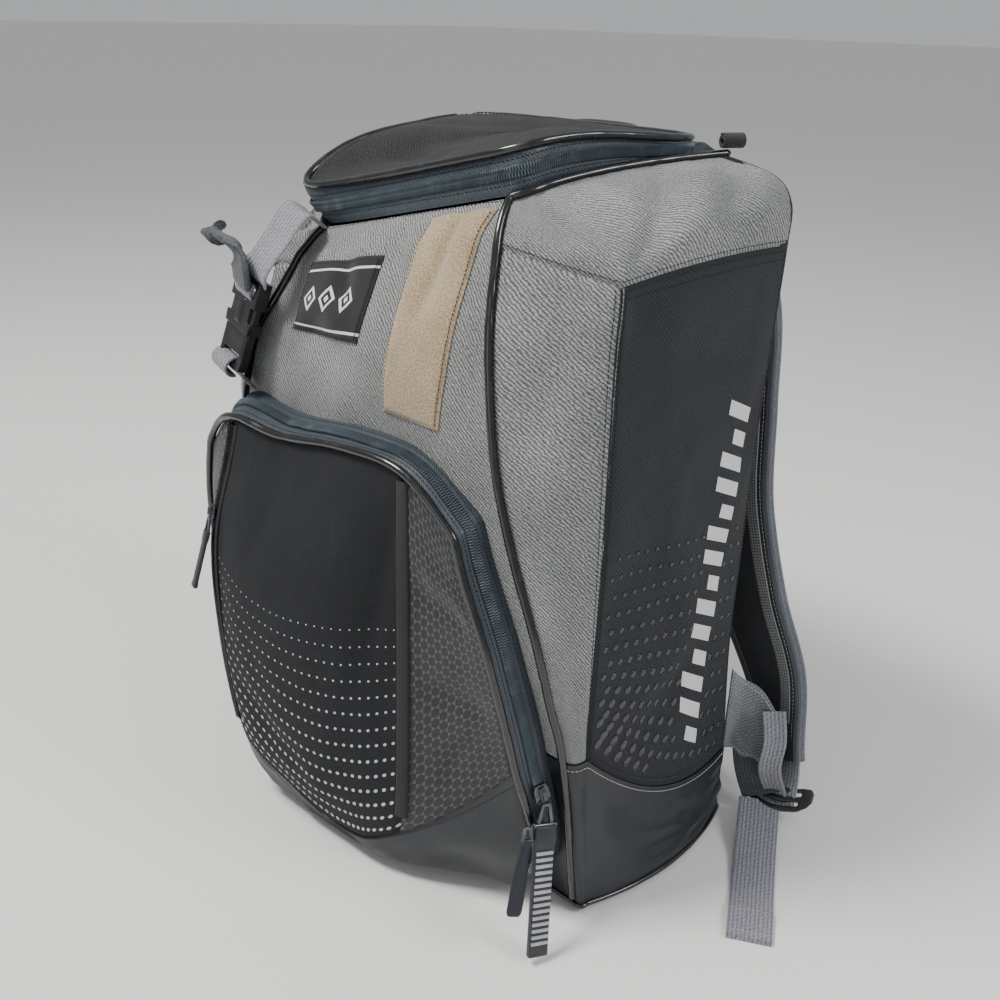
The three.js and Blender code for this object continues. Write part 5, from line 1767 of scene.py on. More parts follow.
POCKET_STATIONS = "left zip near far tape right".split()
POCKET_ROWS = (0.00, 0.17, 0.42, 0.72, 1.00)
POCKET_X = (
    (-0.76, -0.56, -0.27, 0.06, 0.33, 0.80),
    (-0.87, -0.57, -0.26, 0.07, 0.39, 0.89),
    (-0.87, -0.57, -0.25, 0.09, 0.39, 0.84),
    (-0.85, -0.56, -0.25, 0.09, 0.38, 0.765),
    (-0.82, -0.56, -0.27, 0.07, 0.37, 0.61),
)
POCKET_Y = (
    (-0.570, -0.822, -0.850, -0.845, -0.810, -0.560),
    (-0.600, -0.910, -0.945, -0.920, -0.816, -0.585),
    (-0.720, -0.960, -0.990, -0.942, -0.800, -0.660),
    (-0.785, -0.965, -0.995, -0.930, -0.785, -0.735),
    (-0.800, -0.840, -0.825, -0.800, -0.772, -0.755),
)


@dataclass
class Pocket:
    """The domed front pocket: panels, coated foot, zipped band, piping, seam tape and short zip.

    Places on it are given by a share s from its left seam to its right seam and a share r from its
    foot to its arched top.
    """

    body: Body
    foot: float = 12.0
    height: float = 296.0
    reach: float = 174.0
    cloth: float = 2.0
    zip_seam: float = 0.2
    tape_seam: float = 0.8
    arch: tuple[float, ...] = (0.90, 0.98, 0.975, 1.0, 0.99, 0.89)
    coat_line: tuple[float, ...] = (0.41, 0.2, 0.06, 0.02, 0.1, 0.41)
    corner: float = 0.38
    cuts: dict[str, Cut] = field(default_factory=dict)

    def plain_point(self, s: Array, r: Array) -> Array:
        """Places on the pocket before its top left corner is rounded."""
        t = np.interp(r, POCKET_ROWS, np.linspace(0.0, 1.0, len(POCKET_ROWS)))
        x, y = (spline(np.array(table), t) for table in (POCKET_X, POCKET_Y))
        stations = np.moveaxis(np.stack([x * self.body.half_width, y * self.reach], axis=-1), -2, 0)
        last = len(POCKET_STATIONS) - 1
        slot = np.clip(s, 0.0, 1.0) * last
        k = np.minimum(slot.astype(int), last - 1)
        w = (slot - k)[..., None]

        def pick(number: Array) -> Array:
            """Station of each place."""
            number = np.clip(number, 0, last)
            return np.take_along_axis(stations, number[None, ..., None], axis=0)[0]

        a, b, c, d = pick(k - 1), pick(k), pick(k + 1), pick(k + 2)
        place = b + 0.5 * w * ((c - a) + w * ((2 * a - 5 * b + 4 * c - d) + w * (3 * (b - c) + d - a)))
        z = self.foot + r * spline(self.arch, s) * self.height
        return np.concatenate([place, z[..., None]], axis=-1)

    def point(self, s: Array, r: Array) -> Array:
        """Places on the pocket.

        Args:
            s: Shares from the left seam to the right one.
            r: Shares from the foot to the top, of the same shape.

        Returns:
            Points in millimetres.
        """
        s, r = np.asarray(s, float), np.asarray(r, float)
        place = self.plain_point(s, r)
        pull = self.corner * (1.0 - smooth(0.0, 0.16, s)) * smooth(0.84, 1.0, r)
        inner = self.plain_point(s * 0 + 0.12, r * 0 + 0.9)
        return mix(place, inner, pull[..., None])

    def facing(self, s: Array, r: Array) -> Array:
        """Outward vectors of the pocket."""
        step = 0.01
        across = self.point(np.minimum(s + step, 1.0), r) - self.point(np.maximum(s - step, 0.0), r)
        upward = self.point(s, np.minimum(r + step, 1.0)) - self.point(s, np.maximum(r - step, 0.0))
        return unit(np.cross(across, upward))

    def build_panels(self) -> None:
        """The centre panel with its dots and the two ripstop gussets."""
        middle = (
            Crease((0.96, 0.92), (0.80, 0.45), 9.0, 1.8),
            Crease((0.10, 0.30), (0.50, 0.12), 14.0, 1.6),
            Crease((0.30, 0.97), (0.36, 0.70), 10.0, 1.4),
        )
        side = (
            Crease((0.10, 0.75), (0.85, 0.62), 8.0, 1.8),
            Crease((0.15, 0.45), (0.90, 0.30), 9.0, 2.0),
            Crease((0.30, 0.15), (0.80, 0.22), 8.0, 1.5),
        )
        panels = (
            ("pocket_front_panel", (self.zip_seam, self.tape_seam), 2.6, middle, 1.3, DOTTED_TWILL),
            ("pocket_left_gusset", (0.0, self.zip_seam), 2.6, side, 1.0, HONEYCOMB_NET),
            ("pocket_right_gusset", (self.tape_seam, 1.0), 2.8, side, 1.6, HONEYCOMB_NET),
        )
        for seed, (name, ends, spacing, folds, billow, finish) in enumerate(panels):
            guide = np.linspace(*ends, 50)
            width = distances(self.point(guide, guide * 0 + 0.6))[-1]
            s = mix(ends[0], ends[1], spread(width, spacing))
            w = spread(0.88 * self.height, spacing)
            grid_s, grid_w = np.meshgrid(s, w)
            coat = spline(self.coat_line, grid_s)
            places = self.point(grid_s, mix(coat, 1.0, grid_w))
            cut = Cut(name, places, s, w, self.cloth, 101 + 9 * seed, billow, 44.0, 0.45, 1.5, folds)
            self.cuts[name] = cut
            settle(cut.build(), finish, name)

    def build_foot(self) -> None:
        """The coated cloth that wraps under the pocket and up its sides."""
        s = spread(480.0, 3.4)
        s = s / s[-1]
        start = self.point(s, s * 0)
        x = start[:, 0] * 0.97
        behind = np.array([self.body.front(a, 14.0) for a in x])
        root = np.stack([x, behind[:, 1] - 1.5, x * 0 + self.foot + 1.0], axis=1)
        coat = spline(self.coat_line, s)
        under = mix(root[None], start[None], np.linspace(0.0, 1.0, 22)[:, None, None])
        shares = np.linspace(0.0, 1.0, 42)[1:]
        upper = self.point(np.broadcast_to(s, (41, len(s))), shares[:, None] * coat[None])
        places = np.concatenate([under, upper])
        for _ in range(7):
            places[1:-1] = 0.5 * places[1:-1] + 0.25 * (places[2:] + places[:-2])
        rows = np.arange(len(places), dtype=float)
        folds = (
            Crease((0.12, 0.62), (0.26, 0.44), 9.0, 2.2),
            Crease((0.78, 0.70), (0.95, 0.50), 9.0, 2.4),
            Crease((0.70, 0.46), (0.90, 0.40), 8.0, 1.8),
            Crease((0.35, 0.50), (0.60, 0.44), 8.0, 1.4),
        )
        cut = Cut("pocket_base", places, s, rows, 2.4, 131, 1.5, 40.0, 0.5, 1.4, folds)
        self.cuts["pocket_base"] = cut
        settle(cut.build(), NAVY_COATED, "pocket_base")
        line, facing = cut.line("t", 3.2, 0.15)
        settle(stitches("pocket_base_stitches", line[3:-3], facing[3:-3]), DARK_THREAD)

    def rim(self, t: Array) -> tuple[Array, Array]:
        """Shares s and r of the seam round the pocket's front, from foot to foot."""
        rise = 0.34
        s = np.clip((t - rise) / (1.0 - 2.0 * rise), 0.0, 1.0)
        r = np.clip(np.minimum(t, 1.0 - t) / rise, 0.0, 1.0)
        return s, r

    def section(self, t: Array) -> tuple[Array, Array]:
        """Root of the zipped band on the body and its front behind the pocket's seam.

        Args:
            t: Places round the seam, from 0 to 1.

        Returns:
            The roots and the fronts.
        """
        seam = soften(self.point(*self.rim(t)), 6)
        centre = np.stack([0 * t, seam[:, 1], 0 * t + 0.4 * self.height], axis=1)
        out = unit((seam - centre) * [1, 0, 1])
        z = seam[:, 2] + np.maximum(0.0, out[:, 2]) * 8.0
        rows = np.linspace(1.0, 11.0, 400)
        at = self.body.level(rows)
        limit = np.interp(z, at["pipe_z"], at["pipe_x"]) - 2.0 * self.body.pipe - 0.5
        x = np.clip(seam[:, 0] + out[:, 0] * 8.0, -limit, limit)
        front = np.array([self.body.front(a, b) for a, b in zip(x, z)])
        root = soften(self.body.drawn(front), 6) + [0, -0.6, 0]
        return root, seam + unit(root - seam) * 1.6

    def build_band(self) -> None:
        """The zipped band round the pocket, its coil, its stitches and the pocket's piping."""
        t = np.linspace(0.012, 0.988, 460)
        root, front = self.section(t)
        shares = spread(28.0, 2.2)
        places = front[None] + (root - front)[None] * shares[:, None, None]
        cut = Cut("pocket_zip_band", places, t, shares, self.cloth, 151, 0.7, 26.0, 0.5, 1.0, sides="bt")
        self.cuts["pocket_zip_band"] = cut
        settle(cut.build(), BAND_COATED, "pocket_zip_band")
        middle = 0.5 * cut.flat[-1, 0, 1]
        line, facing = cut.line("b", middle, 0.2)
        zip_teeth("pocket_zip_coil", line[10:-10], facing[10:-10], COIL, "pocket_zip_coil")
        for k, inset in enumerate((0.22, 0.82)):
            line, facing = cut.line("b", 2 * middle * inset, 0.1)
            settle(stitches(f"pocket_band_stitches_{k}", line[6:-6], facing[6:-6]), DARK_THREAD)
        seam = soften(self.point(*self.rim(np.linspace(0.03, 0.97, 460))), 6)
        centre = np.array([0.0, -0.3 * self.reach, 0.4 * self.height])
        line = soften(resample(seam + unit(seam - centre) * 1.9, 2.0)[0], 3)
        settle(tube("pocket_piping", line, self.body.pipe, wobble=0.08, seed=6), PIPING, "pocket_piping")

    def strip(self, s: float, ends: tuple[float, float], lift: float) -> tuple[Array, Array, Array]:
        """A line up the pocket along one of its seams, with its across and outward vectors."""
        r = np.linspace(*ends, 150)
        place = self.point(r * 0 + s, r)
        facing = self.facing(r * 0 + s, r)
        upward = unit(np.gradient(place, axis=0))
        return place + facing * lift, unit(np.cross(upward, facing)), facing

    def build_seams(self) -> None:
        """The taped seam at the right and the short zip with its two tapes at the left."""
        line, across, facing = self.strip(self.tape_seam, (0.16, 0.985), 0.3)
        tape = ribbon("pocket_seam_tape", line, across, 9.0, 1.6, 0.5)
        settle(tape, BLACK_TAPE, "pocket_seam_tape")
        for k, side in enumerate((-1, 1)):
            thread = stitches(f"seam_tape_stitches_{k}", line + across * 3.3 * side + facing * 0.9, facing)
            settle(thread, DARK_THREAD)
        line, across, facing = self.strip(self.zip_seam, (0.2, 0.985), 0.1)
        settle(ribbon("short_zip_tape", line, across, 13.0, 1.3, 0.3), BLACK_TAPE)
        for k, side in enumerate((-1, 1)):
            thread = stitches(f"short_zip_stitches_{k}", line + across * 5.0 * side + facing * 0.8, facing)
            settle(thread, DARK_THREAD)
        zip_teeth("pocket_short_zip", line + facing * 0.6, facing, DARK_COIL, "pocket_short_zip")

    def build(self) -> None:
        """Builds the pocket."""
        self.build_panels()
        self.build_foot()
        self.build_band()
        self.build_seams()


# ---------------------------------------------------------------- hard pieces


class Bench:
    """Models one hard piece with Blender's own operators, in millimetres at the origin."""

    def __init__(self, name: str, maker: Callable, **settings) -> None:
        """Starts from a primitive with nothing else selected.

        Args:
            name: Name of the piece.
            maker: Operator that adds the primitive.
            settings: Its settings.
        """
        bpy.ops.object.select_all(action="DESELECT")
        maker(**settings)
        self.piece = bpy.context.object
        self.piece.name = name
        self.piece.data.name = name

    def edit(self, kind: str = "FACE") -> None:
        """Opens the mesh with all of it selected."""
        bpy.ops.object.mode_set(mode="EDIT")
        bpy.ops.mesh.select_mode(type=kind)
        bpy.ops.mesh.select_all(action="SELECT")

    def close(self) -> None:
        """Leaves edit mode."""
        bpy.ops.object.mode_set(mode="OBJECT")

    def choose(self, test: Callable[[Vector], bool], kind: str = "FACE") -> None:
        """Opens the mesh with only some faces or vertices selected.

        Args:
            test: Tells from a face's middle or a vertex's place whether it is selected.
            kind: "FACE" or "VERT".
        """
        bpy.ops.object.mode_set(mode="EDIT")
        bpy.ops.mesh.select_mode(type=kind)
        bpy.ops.mesh.select_all(action="DESELECT")
        bpy.ops.object.mode_set(mode="OBJECT")
        mesh = self.piece.data
        if kind == "FACE":
            for polygon in mesh.polygons:
                polygon.select = test(polygon.center)
        else:
            for vertex in mesh.vertices:
                vertex.select = test(vertex.co)
        bpy.ops.object.mode_set(mode="EDIT")

    def resize(self, x: float, y: float, z: float) -> None:
        """Scales what is selected about the origin."""
        bpy.ops.transform.resize(value=(x, y, z), center_override=(0.0, 0.0, 0.0))

    def move(self, x: float, y: float, z: float) -> None:
        """Moves what is selected."""
        bpy.ops.transform.translate(value=(x, y, z))

    def cut_at(self, axis: str, places: Iterable[float]) -> None:
        """Cuts the whole mesh across an axis at each place."""
        way = Vector([float(axis == name) for name in "xyz"])
        for place in places:
            bpy.ops.mesh.select_all(action="SELECT")
            bpy.ops.mesh.bisect(plane_co=way * place, plane_no=way)

    def apply(self, kind: str, **settings) -> None:
        """Adds a modifier and applies it."""
        change = self.piece.modifiers.new(kind.lower(), kind)
        for key, value in settings.items():
            setattr(change, key, value)
        bpy.context.view_layer.objects.active = self.piece
        bpy.ops.object.modifier_apply(modifier=change.name)

    def round_edges(self, width: float, segments: int = 3) -> None:
        """Rounds the piece's sharp edges."""
        angle = math.radians(32)
        self.apply("BEVEL", width=width, segments=segments, limit_method="ANGLE", angle_limit=angle)

    def join(self, others: Sequence) -> None:
        """Joins other objects into this one."""
        bpy.ops.object.select_all(action="DESELECT")
        for other in others:
            other.select_set(True)
        self.piece.select_set(True)
        bpy.context.view_layer.objects.active = self.piece
        bpy.ops.object.join()

    def stand(self, origin: Array, along: Array, across: Array):
        """Puts the piece in its place with its own place in the mesh.

        Args:
            origin: Where its origin goes, in millimetres.
            along: Where its X axis points.
            across: Rough direction of its Y axis.

        Returns:
            The object.
        """
        x = unit(np.asarray(along, float))
        y = np.asarray(across, float)
        y = unit(y - x * y.dot(x))
        z = np.cross(x, y)
        place = Matrix.Identity(4)
        for k, axis in enumerate((x, y, z)):
            for row in range(3):
                place[row][k] = axis[row] * MM
        for row in range(3):
            place[row][3] = origin[row] * MM
        bpy.ops.object.select_all(action="DESELECT")
        self.piece.select_set(True)
        bpy.context.view_layer.objects.active = self.piece
        self.piece.matrix_world = place
        bpy.ops.object.transform_apply(location=True, rotation=True, scale=True)
        bpy.ops.object.shade_smooth_by_angle(angle=math.radians(40))
        return self.piece


@dataclass(frozen=True)
class Slot:
    """An opening of a flat piece, from one length to another and of a half width."""

    start: float
    end: float
    half: float


def flat_block(name: str, length: float, width: float, slots: Sequence[Slot], notches: Sequence[Slot] = ()):
    """A flat sheet with openings, ready to be thickened.

    Args:
        name: Name of the piece.
        length: Its length along X, from the origin.
        width: Its width across Y, on both sides of X.
        slots: Openings through its middle.
        notches: Openings of its two long edges, inwards to their half width.

    Returns:
        The bench with the sheet on it.
    """
    bench = Bench(name, bpy.ops.mesh.primitive_plane_add, size=1.0)
    bench.edit()
    bench.resize(length, width, 1.0)
    bench.move(length / 2, 0.0, 0.0)
    openings = [*slots, *notches]
    bench.cut_at("x", [x for item in openings for x in (item.start, item.end)])
    bench.cut_at("y", [side * item.half for item in openings for side in (-1, 1)])

    def opened(place: Vector) -> bool:
        """True in an opening."""
        inside = any(s.start < place.x < s.end and abs(place.y) < s.half for s in slots)
        return inside or any(s.start < place.x < s.end and abs(place.y) > s.half for s in notches)

    bench.close()
    bench.choose(opened)
    bpy.ops.mesh.delete(type="FACE")
    bench.close()
    return bench


@dataclass
class WireFrame:
    """A flat trapezoid frame of wire, such as a bail or a ring."""

    length: float
    top: float
    foot: float
    wire: float

    def build(self, name: str) -> Bench:
        """Models the frame.

        Args:
            name: Name of the piece.

        Returns:
            The bench with the frame on it.
        """
        bench = Bench(name, bpy.ops.mesh.primitive_plane_add, size=1.0)
        bench.edit()
        bench.resize(self.length, self.foot, 1.0)
        bench.move(self.length / 2, 0.0, 0.0)
        bench.close()
        bench.choose(lambda place: place.x < self.length / 2, "VERT")
        bench.resize(1.0, self.top / self.foot, 1.0)
        bench.edit()
        bpy.ops.mesh.bevel(offset=1.6, segments=4, affect="VERTICES")
        bpy.ops.mesh.select_all(action="SELECT")
        bpy.ops.mesh.inset(thickness=self.wire)
        bpy.ops.mesh.delete(type="FACE")
        bench.close()
        bench.apply("SOLIDIFY", thickness=self.wire, offset=0.0)
        bench.round_edges(self.wire * 0.3)
        return bench


@dataclass
class Slider:
    """A zip slider: two plates joined by a neck, with a bridge over the upper one."""

    length: float
    width: float
    height: float

    def build(self, name: str) -> Bench:
        """Models the slider along X with its top towards +Z.

        Args:
            name: Name of the piece.

        Returns:
            The bench with the slider on it.
        """
        low = Bench(f"{name}_low", bpy.ops.mesh.primitive_cube_add, size=1.0)
        low.edit()
        low.resize(self.length, self.width, self.height * 0.42)
        low.cut_at("x", (-self.length * 0.2, self.length * 0.25))
        low.close()
        low.choose(lambda place: place.x < -self.length * 0.3, "VERT")
        low.resize(1.0, 0.72, 1.0)
        low.close()
        low.round_edges(0.7)
        bench = Bench(name, bpy.ops.mesh.primitive_cube_add, size=1.0)
        bench.edit()
        bench.resize(self.length * 0.86, self.width * 0.4, self.height * 0.3)
        bench.move(0.0, 0.0, self.height * 0.35)
        bench.close()
        bench.choose(lambda place: place.z > self.height * 0.45)
        bpy.ops.mesh.inset(thickness=self.width * 0.06)
        bpy.ops.mesh.extrude_region_move(TRANSFORM_OT_translate={"value": (0.0, 0.0, self.height * 0.28)})
        bpy.ops.transform.resize(value=(0.72, 0.8, 1.0))
        bench.close()
        bench.round_edges(0.5)
        bench.join([low.piece])
        return bench


def rounded_box(
    name: str,
    size: Sequence[float],
    middle: Sequence[float],
    radius: float,
    steps: int,
    cuts: Sequence[float] = (),
) -> Bench:
    """A box with rounded edges.

    Args:
        name: Name of the piece.
        size: Its length, width and height.
        middle: Place of its middle.
        radius: Radius of its edges.
        steps: Steps of the rounding.
        cuts: Places along its length that get an extra loop of edges.

    Returns:
        The bench with the box on it.
    """
    bench = Bench(name, bpy.ops.mesh.primitive_cube_add, size=1.0)
    bench.edit()
    bench.resize(*size)
    bench.move(*middle)
    if cuts:
        bench.cut_at("x", cuts)
    bench.close()
    bench.round_edges(radius, steps)
    return bench


@dataclass
class ZipHardware:
    """Sliders, bails, pulls, the tag's ring and the leather tag of the pocket's two zips."""

    pocket: Pocket
    place: float = 0.8796
    slider: Slider = field(default_factory=lambda: Slider(12.0, 11.0, 7.0))
    bail: WireFrame = field(default_factory=lambda: WireFrame(15.0, 6.5, 12.0, 2.0))
    ring: WireFrame = field(default_factory=lambda: WireFrame(10.0, 6.5, 9.0, 1.7))
    pull_width: float = 14.0
    pull_thickness: float = 4.5
    ribs: int = 15
    head: float = 16.0
    plain: float = 7.0

    def pull_piece(self, length: float) -> tuple[Bench, Bench]:
        """The rubber pull with its block at the top, and its silver ribs.

        Args:
            length: Its whole length.

        Returns:
            The benches with the pull and with the ribs on them.
        """
        size = (length - self.head + 3.0, self.pull_width, self.pull_thickness)
        strip = rounded_box("pull_strip", size, ((length + self.head - 3.0) / 2, 0.0, 0.0), 1.1, 4)
        bench = Bench("pocket_pull", bpy.ops.mesh.primitive_cube_add, size=1.0)
        bench.edit()
        bench.resize(self.head, self.pull_width * 1.04, self.pull_thickness * 1.6)
        bench.move(self.head / 2, 0.0, 0.0)
        bench.cut_at("x", (self.head * 0.55,))
        bench.close()
        bench.choose(lambda place: place.x > self.head * 0.9, "VERT")
        bench.resize(1.0, 0.94, 0.72)
        bench.close()
        bench.round_edges(1.2, 4)
        bench.join([strip.piece])
        pitch = (length - self.head - self.plain) / self.ribs
        size = (pitch * 0.55, self.pull_width * 0.88, self.pull_thickness + 1.5)
        rib = rounded_box("pocket_pull_ribs", size, (self.head + pitch * 0.45, 0.0, 0.0), 0.45, 2)
        copies = []
        for k in range(1, self.ribs):
            copy = rib.piece.copy()
            copy.data = rib.piece.data.copy()
            bpy.context.scene.collection.objects.link(copy)
            copy.location = (k * pitch, 0.0, 0.0)
            copies.append(copy)
        rib.join(copies)
        return bench, rib

    def build_main(self) -> None:
        """The main slider with its bail, ribbed pull, ring and tag."""
        cut = self.pocket.cuts["pocket_zip_band"]
        middle, facing = cut.line("b", 0.5 * cut.flat[-1, 0, 1])
        k = int(np.searchsorted(cut.across, self.place))
        normal, down = facing[k], unit(middle[k + 3] - middle[k])
        base = middle[k] + normal * 3.2
        slider = self.slider.build("pocket_zip_slider").stand(base, down, np.cross(normal, down))
        settle(slider, GUNMETAL, "pocket_zip_slider")
        hang = base + down * (self.slider.length / 2 + 0.8) + normal * 3.0
        foot = hang + [21.8, -28.1, 0.0]
        foot[2] = self.pull_thickness + 0.5
        axis = unit(foot - hang)
        face = unit(normal - axis * normal.dot(axis))
        flat = np.cross(axis, face)
        bail = self.bail.build("pocket_pull_bail").stand(hang, axis, flat)
        settle(bail, GUNMETAL, "pocket_pull_bail")
        start = hang + axis * (self.bail.length - 1.2)
        pull, ribs = self.pull_piece(float(np.linalg.norm(foot - start)))
        settle(pull.stand(start, axis, -flat), RUBBER, "pocket_pull")
        settle(ribs.stand(start, axis, -flat), SILVER)
        bar = Bench("pull_bar", bpy.ops.mesh.primitive_cylinder_add, radius=1.9, depth=17.0, vertices=24)
        bar.round_edges(0.5)
        settle(bar.stand(start + axis * 0.4, axis, np.cross(flat, axis)), GUNMETAL)
        ring_start = start + flat * (self.pull_width / 2 + self.ring.foot / 2 + 0.4)
        settle(self.ring.build("tag_ring").stand(ring_start, axis, flat), GUNMETAL, "tag_ring")
        self.build_tag(ring_start + axis * (self.ring.length - 1.0), axis + flat * 0.16, flat, foot)

    def build_tag(self, start: Array, axis: Array, flat: Array, foot: Array) -> None:
        """The leather tag on its ring, with a row of stitches along each edge."""
        axis = unit(axis)
        length = 0.62 * float(np.linalg.norm(foot - start))
        along = np.linspace(0.0, length, 46)
        face = np.cross(axis, flat)
        line = start + along[:, None] * axis + face * (0.6 * np.sin(along / length * 5.0))[:, None]
        width = 7.0 + 4.0 * smooth(0.0, 0.7 * length, along)
        width[-3:] *= [0.97, 0.88, 0.7]
        across = np.broadcast_to(flat, line.shape)
        settle(ribbon("leather_tag", line, across, width, 2.0), LEATHER, "leather_tag")
        for k, side in enumerate((-1, 1)):
            edge = line + flat * (side * (width / 2 - 1.4))[:, None] - face * 1.0
            row = edge[3:-4]
            settle(stitches(f"leather_tag_stitches_{k}", row, row * 0 - face, 2.0, 0.4), DARK_THREAD)

    def build_short(self) -> None:
        """The short zip's slider with its ring and its flat rubber pull."""
        line, across, facing = self.pocket.strip(self.pocket.zip_seam, (0.22, 0.975), 3.0)
        k = int(0.75 * (len(line) - 1))
        down, normal = unit(line[k - 3] - line[k]), facing[k]
        base = line[k] + normal * 0.6
        small = Slider(9.0, 8.0, 4.5).build("short_zip_slider")
        settle(small.stand(base, down, np.cross(normal, down)), GUNMETAL, "short_zip_slider")
        start = base + down * 4.2 + normal * 1.6
        ring = WireFrame(11.0, 5.0, 9.0, 1.6).build("short_zip_ring")
        settle(ring.stand(start, down, across[k]), GUNMETAL, "short_zip_ring")
        begin = start + down * 9.6
        axis = unit(down + normal * 0.08)
        bench = Bench("short_zip_pull", bpy.ops.mesh.primitive_cube_add, size=1.0)
        bench.edit()
        bench.resize(42.0, 8.0, 3.2)
        bench.move(21.0, 0.0, 0.0)
        bench.cut_at("x", (6.0, 10.0, 36.0))
        bench.close()
        bench.choose(lambda place: 9.0 < place.x < 37.0, "VERT")
        bench.resize(1.0, 0.8, 0.85)
        bench.close()
        bench.round_edges(0.9, 4)
        settle(bench.stand(begin, axis, across[k]), RUBBER, "short_zip_pull")

    def build(self) -> None:
        """Builds the hardware."""
        self.build_main()
        self.build_short()


# ---------------------------------------------------------------- webbing and straps


def route(points: Sequence, across: Sequence, count: int) -> tuple[Array, Array]:
    """A strip's middle line and the direction across it, blended between those given.

    Args:
        points: Points in millimetres that it passes.
        across: Directions across it, at even places of the line.
        count: Number of steps.

    Returns:
        The line and the direction at each of its places.
    """
    line = through(points, count)
    at = np.linspace(0.0, len(across) - 1.0, count + 1)
    table = np.array(across, float)
    sides = [np.interp(at, np.arange(len(across)), table[:, k]) for k in range(3)]
    return line, np.stack(sides, axis=1)


@dataclass
class BuckleStrap:
    """The compression strap at the front left: webbing, folded tail, socket and plug."""

    body: Body
    length: float = 62.0
    width: float = 34.0
    thickness: float = 11.0
    edge_on: tuple[float, float, float] = (-0.75, 0.6, 0.15)

    def axes(self) -> tuple[Array, Array, Array, Array]:
        """Middle of the buckle and its up, outward and across directions."""
        b = self.body
        centre = np.array([-0.69 * b.half_width, -1.54 * b.half_depth, 0.748 * b.height])
        up = unit(np.array([0.22, 0.24, 1.0]))
        face = np.array([-0.12, -0.95, 0.25])
        face = unit(face - up * face.dot(up))
        return centre, up, face, unit(np.cross(up, face))

    def build_buckle(self) -> None:
        """The socket with its bar and side openings, and the plug with its two prongs."""
        centre, up, _, across = self.axes()
        half = self.length / 2
        slot = Slot(half - 5.0, half + 1.0, self.width / 2 - 4.5)
        opening = Slot(8.0, 19.0, self.width / 2 - 5.0)
        socket = flat_block("buckle_socket", half + 6.0, self.width, [slot], [opening])
        socket.choose(lambda place: place.x < 0.1, "VERT")
        socket.resize(1.0, 0.95, 1.0)
        socket.close()
        socket.apply("SOLIDIFY", thickness=self.thickness - 1.5, offset=0.0)
        socket.round_edges(1.5, 4)
        rib = rounded_box("socket_rib", (18.0, 9.0, self.thickness), (13.0, 0.0, 0.0), 1.6, 4)
        socket.join([rib.piece])
        settle(socket.stand(centre + up * 0.3, up, across), ACETAL, "buckle_socket")
        slot = Slot(half - 15.0, half - 8.5, self.width / 2 - 5.5)
        plug = flat_block("buckle_plug", half - 4.0, self.width - 3.0, [slot])
        plug.choose(lambda place: place.x > half - 5.0, "VERT")
        plug.resize(1.0, 0.93, 1.0)
        plug.close()
        plug.apply("SOLIDIFY", thickness=self.thickness - 3.5, offset=0.0)
        plug.round_edges(1.3, 4)
        prongs = []
        for side in (-1, 1):
            middle = (-11.0, side * (self.width / 2 - 3.4), 0.0)
            prong = rounded_box(f"prong_{side}", (26.0, 4.6, 5.5), middle, 1.1, 3, (-19.0, -8.0))
            prongs.append(prong.piece)
        plug.join(prongs)
        settle(plug.stand(centre, -up, across), ACETAL, "buckle_plug")

    def build_webbing(self) -> None:
        """The webbing from under the lid, its folded tail, and the piece down to the pocket's top."""
        b = self.body
        centre, up, face, across = self.axes()
        half = self.length / 2
        top = centre + up * (half + 6.0)
        rim = b.drawn(b.front(-0.435 * b.half_width, 0.970 * b.height))
        points = [rim + [-9, -4, 4], [-87, -90, 434], [-88, -108, 417], [-93, -119, 401], top - up * 3.5]
        line, sides = route(points, [[0.93, -0.1, -0.35], [0.97, 0.0, -0.2], across], 60)
        settle(ribbon("buckle_webbing_upper", line, sides, 25.0, 2.2, 0.6), WEBBING, "buckle_webbing_upper")
        thread = stitches("upper_webbing_stitches", line[4:9], frames_along(line, sides)[2][4:9] * -1, 2.4)
        settle(thread, PALE_THREAD)
        start = top + face * (self.thickness / 2 + 2.4) - up * 6.0
        steps = ([3, -3, 13], [-2, -2, 22], [-15, -1, 29], [-33, 1, 31])
        points = [start, *(start + step for step in steps)]
        line, sides = route(points, [across, across, [0.55, -0.75, 0.1], self.edge_on], 50)
        width = mix(22.0, 17.0, smooth(0.3, 1.0, np.linspace(0.0, 1.0, 51)))
        tail = ribbon("buckle_webbing_tail", line, sides, width, 4.0, 0.4)
        settle(tail, TAIL_WEBBING, "buckle_webbing_tail")
        self.build_roll("upper_webbing_roll", centre + up * (half - 2.0), 6.4)
        low = centre - up * (half - 4.0) - across * 6.0
        self.build_roll("lower_webbing_roll", low, 6.6)
        end = centre - up * (half - 9.0) + face * 1.0
        anchor = b.drawn(b.front(-0.63 * b.half_width, 0.66 * b.height)) + [0, -4.0, 0]
        points = [end, mix(end, anchor, 0.5) + face * 4.0, anchor]
        line, sides = route(points, [across, across], 40)
        settle(ribbon("buckle_webbing_lower", line, sides, 24.0, 2.2, 0.5), WEBBING, "buckle_webbing_lower")

    def build_roll(self, name: str, centre: Array, radius: float) -> None:
        """The turn of pale webbing round one of the buckle's bars.

        Args:
            name: Name of the roll.
            centre: Middle of the bar.
            radius: Radius of the turn.
        """
        _, up, face, across = self.axes()
        angle = np.linspace(-0.62 * math.pi, 0.62 * math.pi, 34)[:, None]
        line = centre + radius * (np.cos(angle) * face + np.sin(angle) * up)
        sides = np.broadcast_to(across, line.shape)
        settle(ribbon(name, line, sides, 23.0, 1.9), WEBBING)

    def build(self) -> None:
        """Builds the strap."""
        self.build_buckle()
        self.build_webbing()


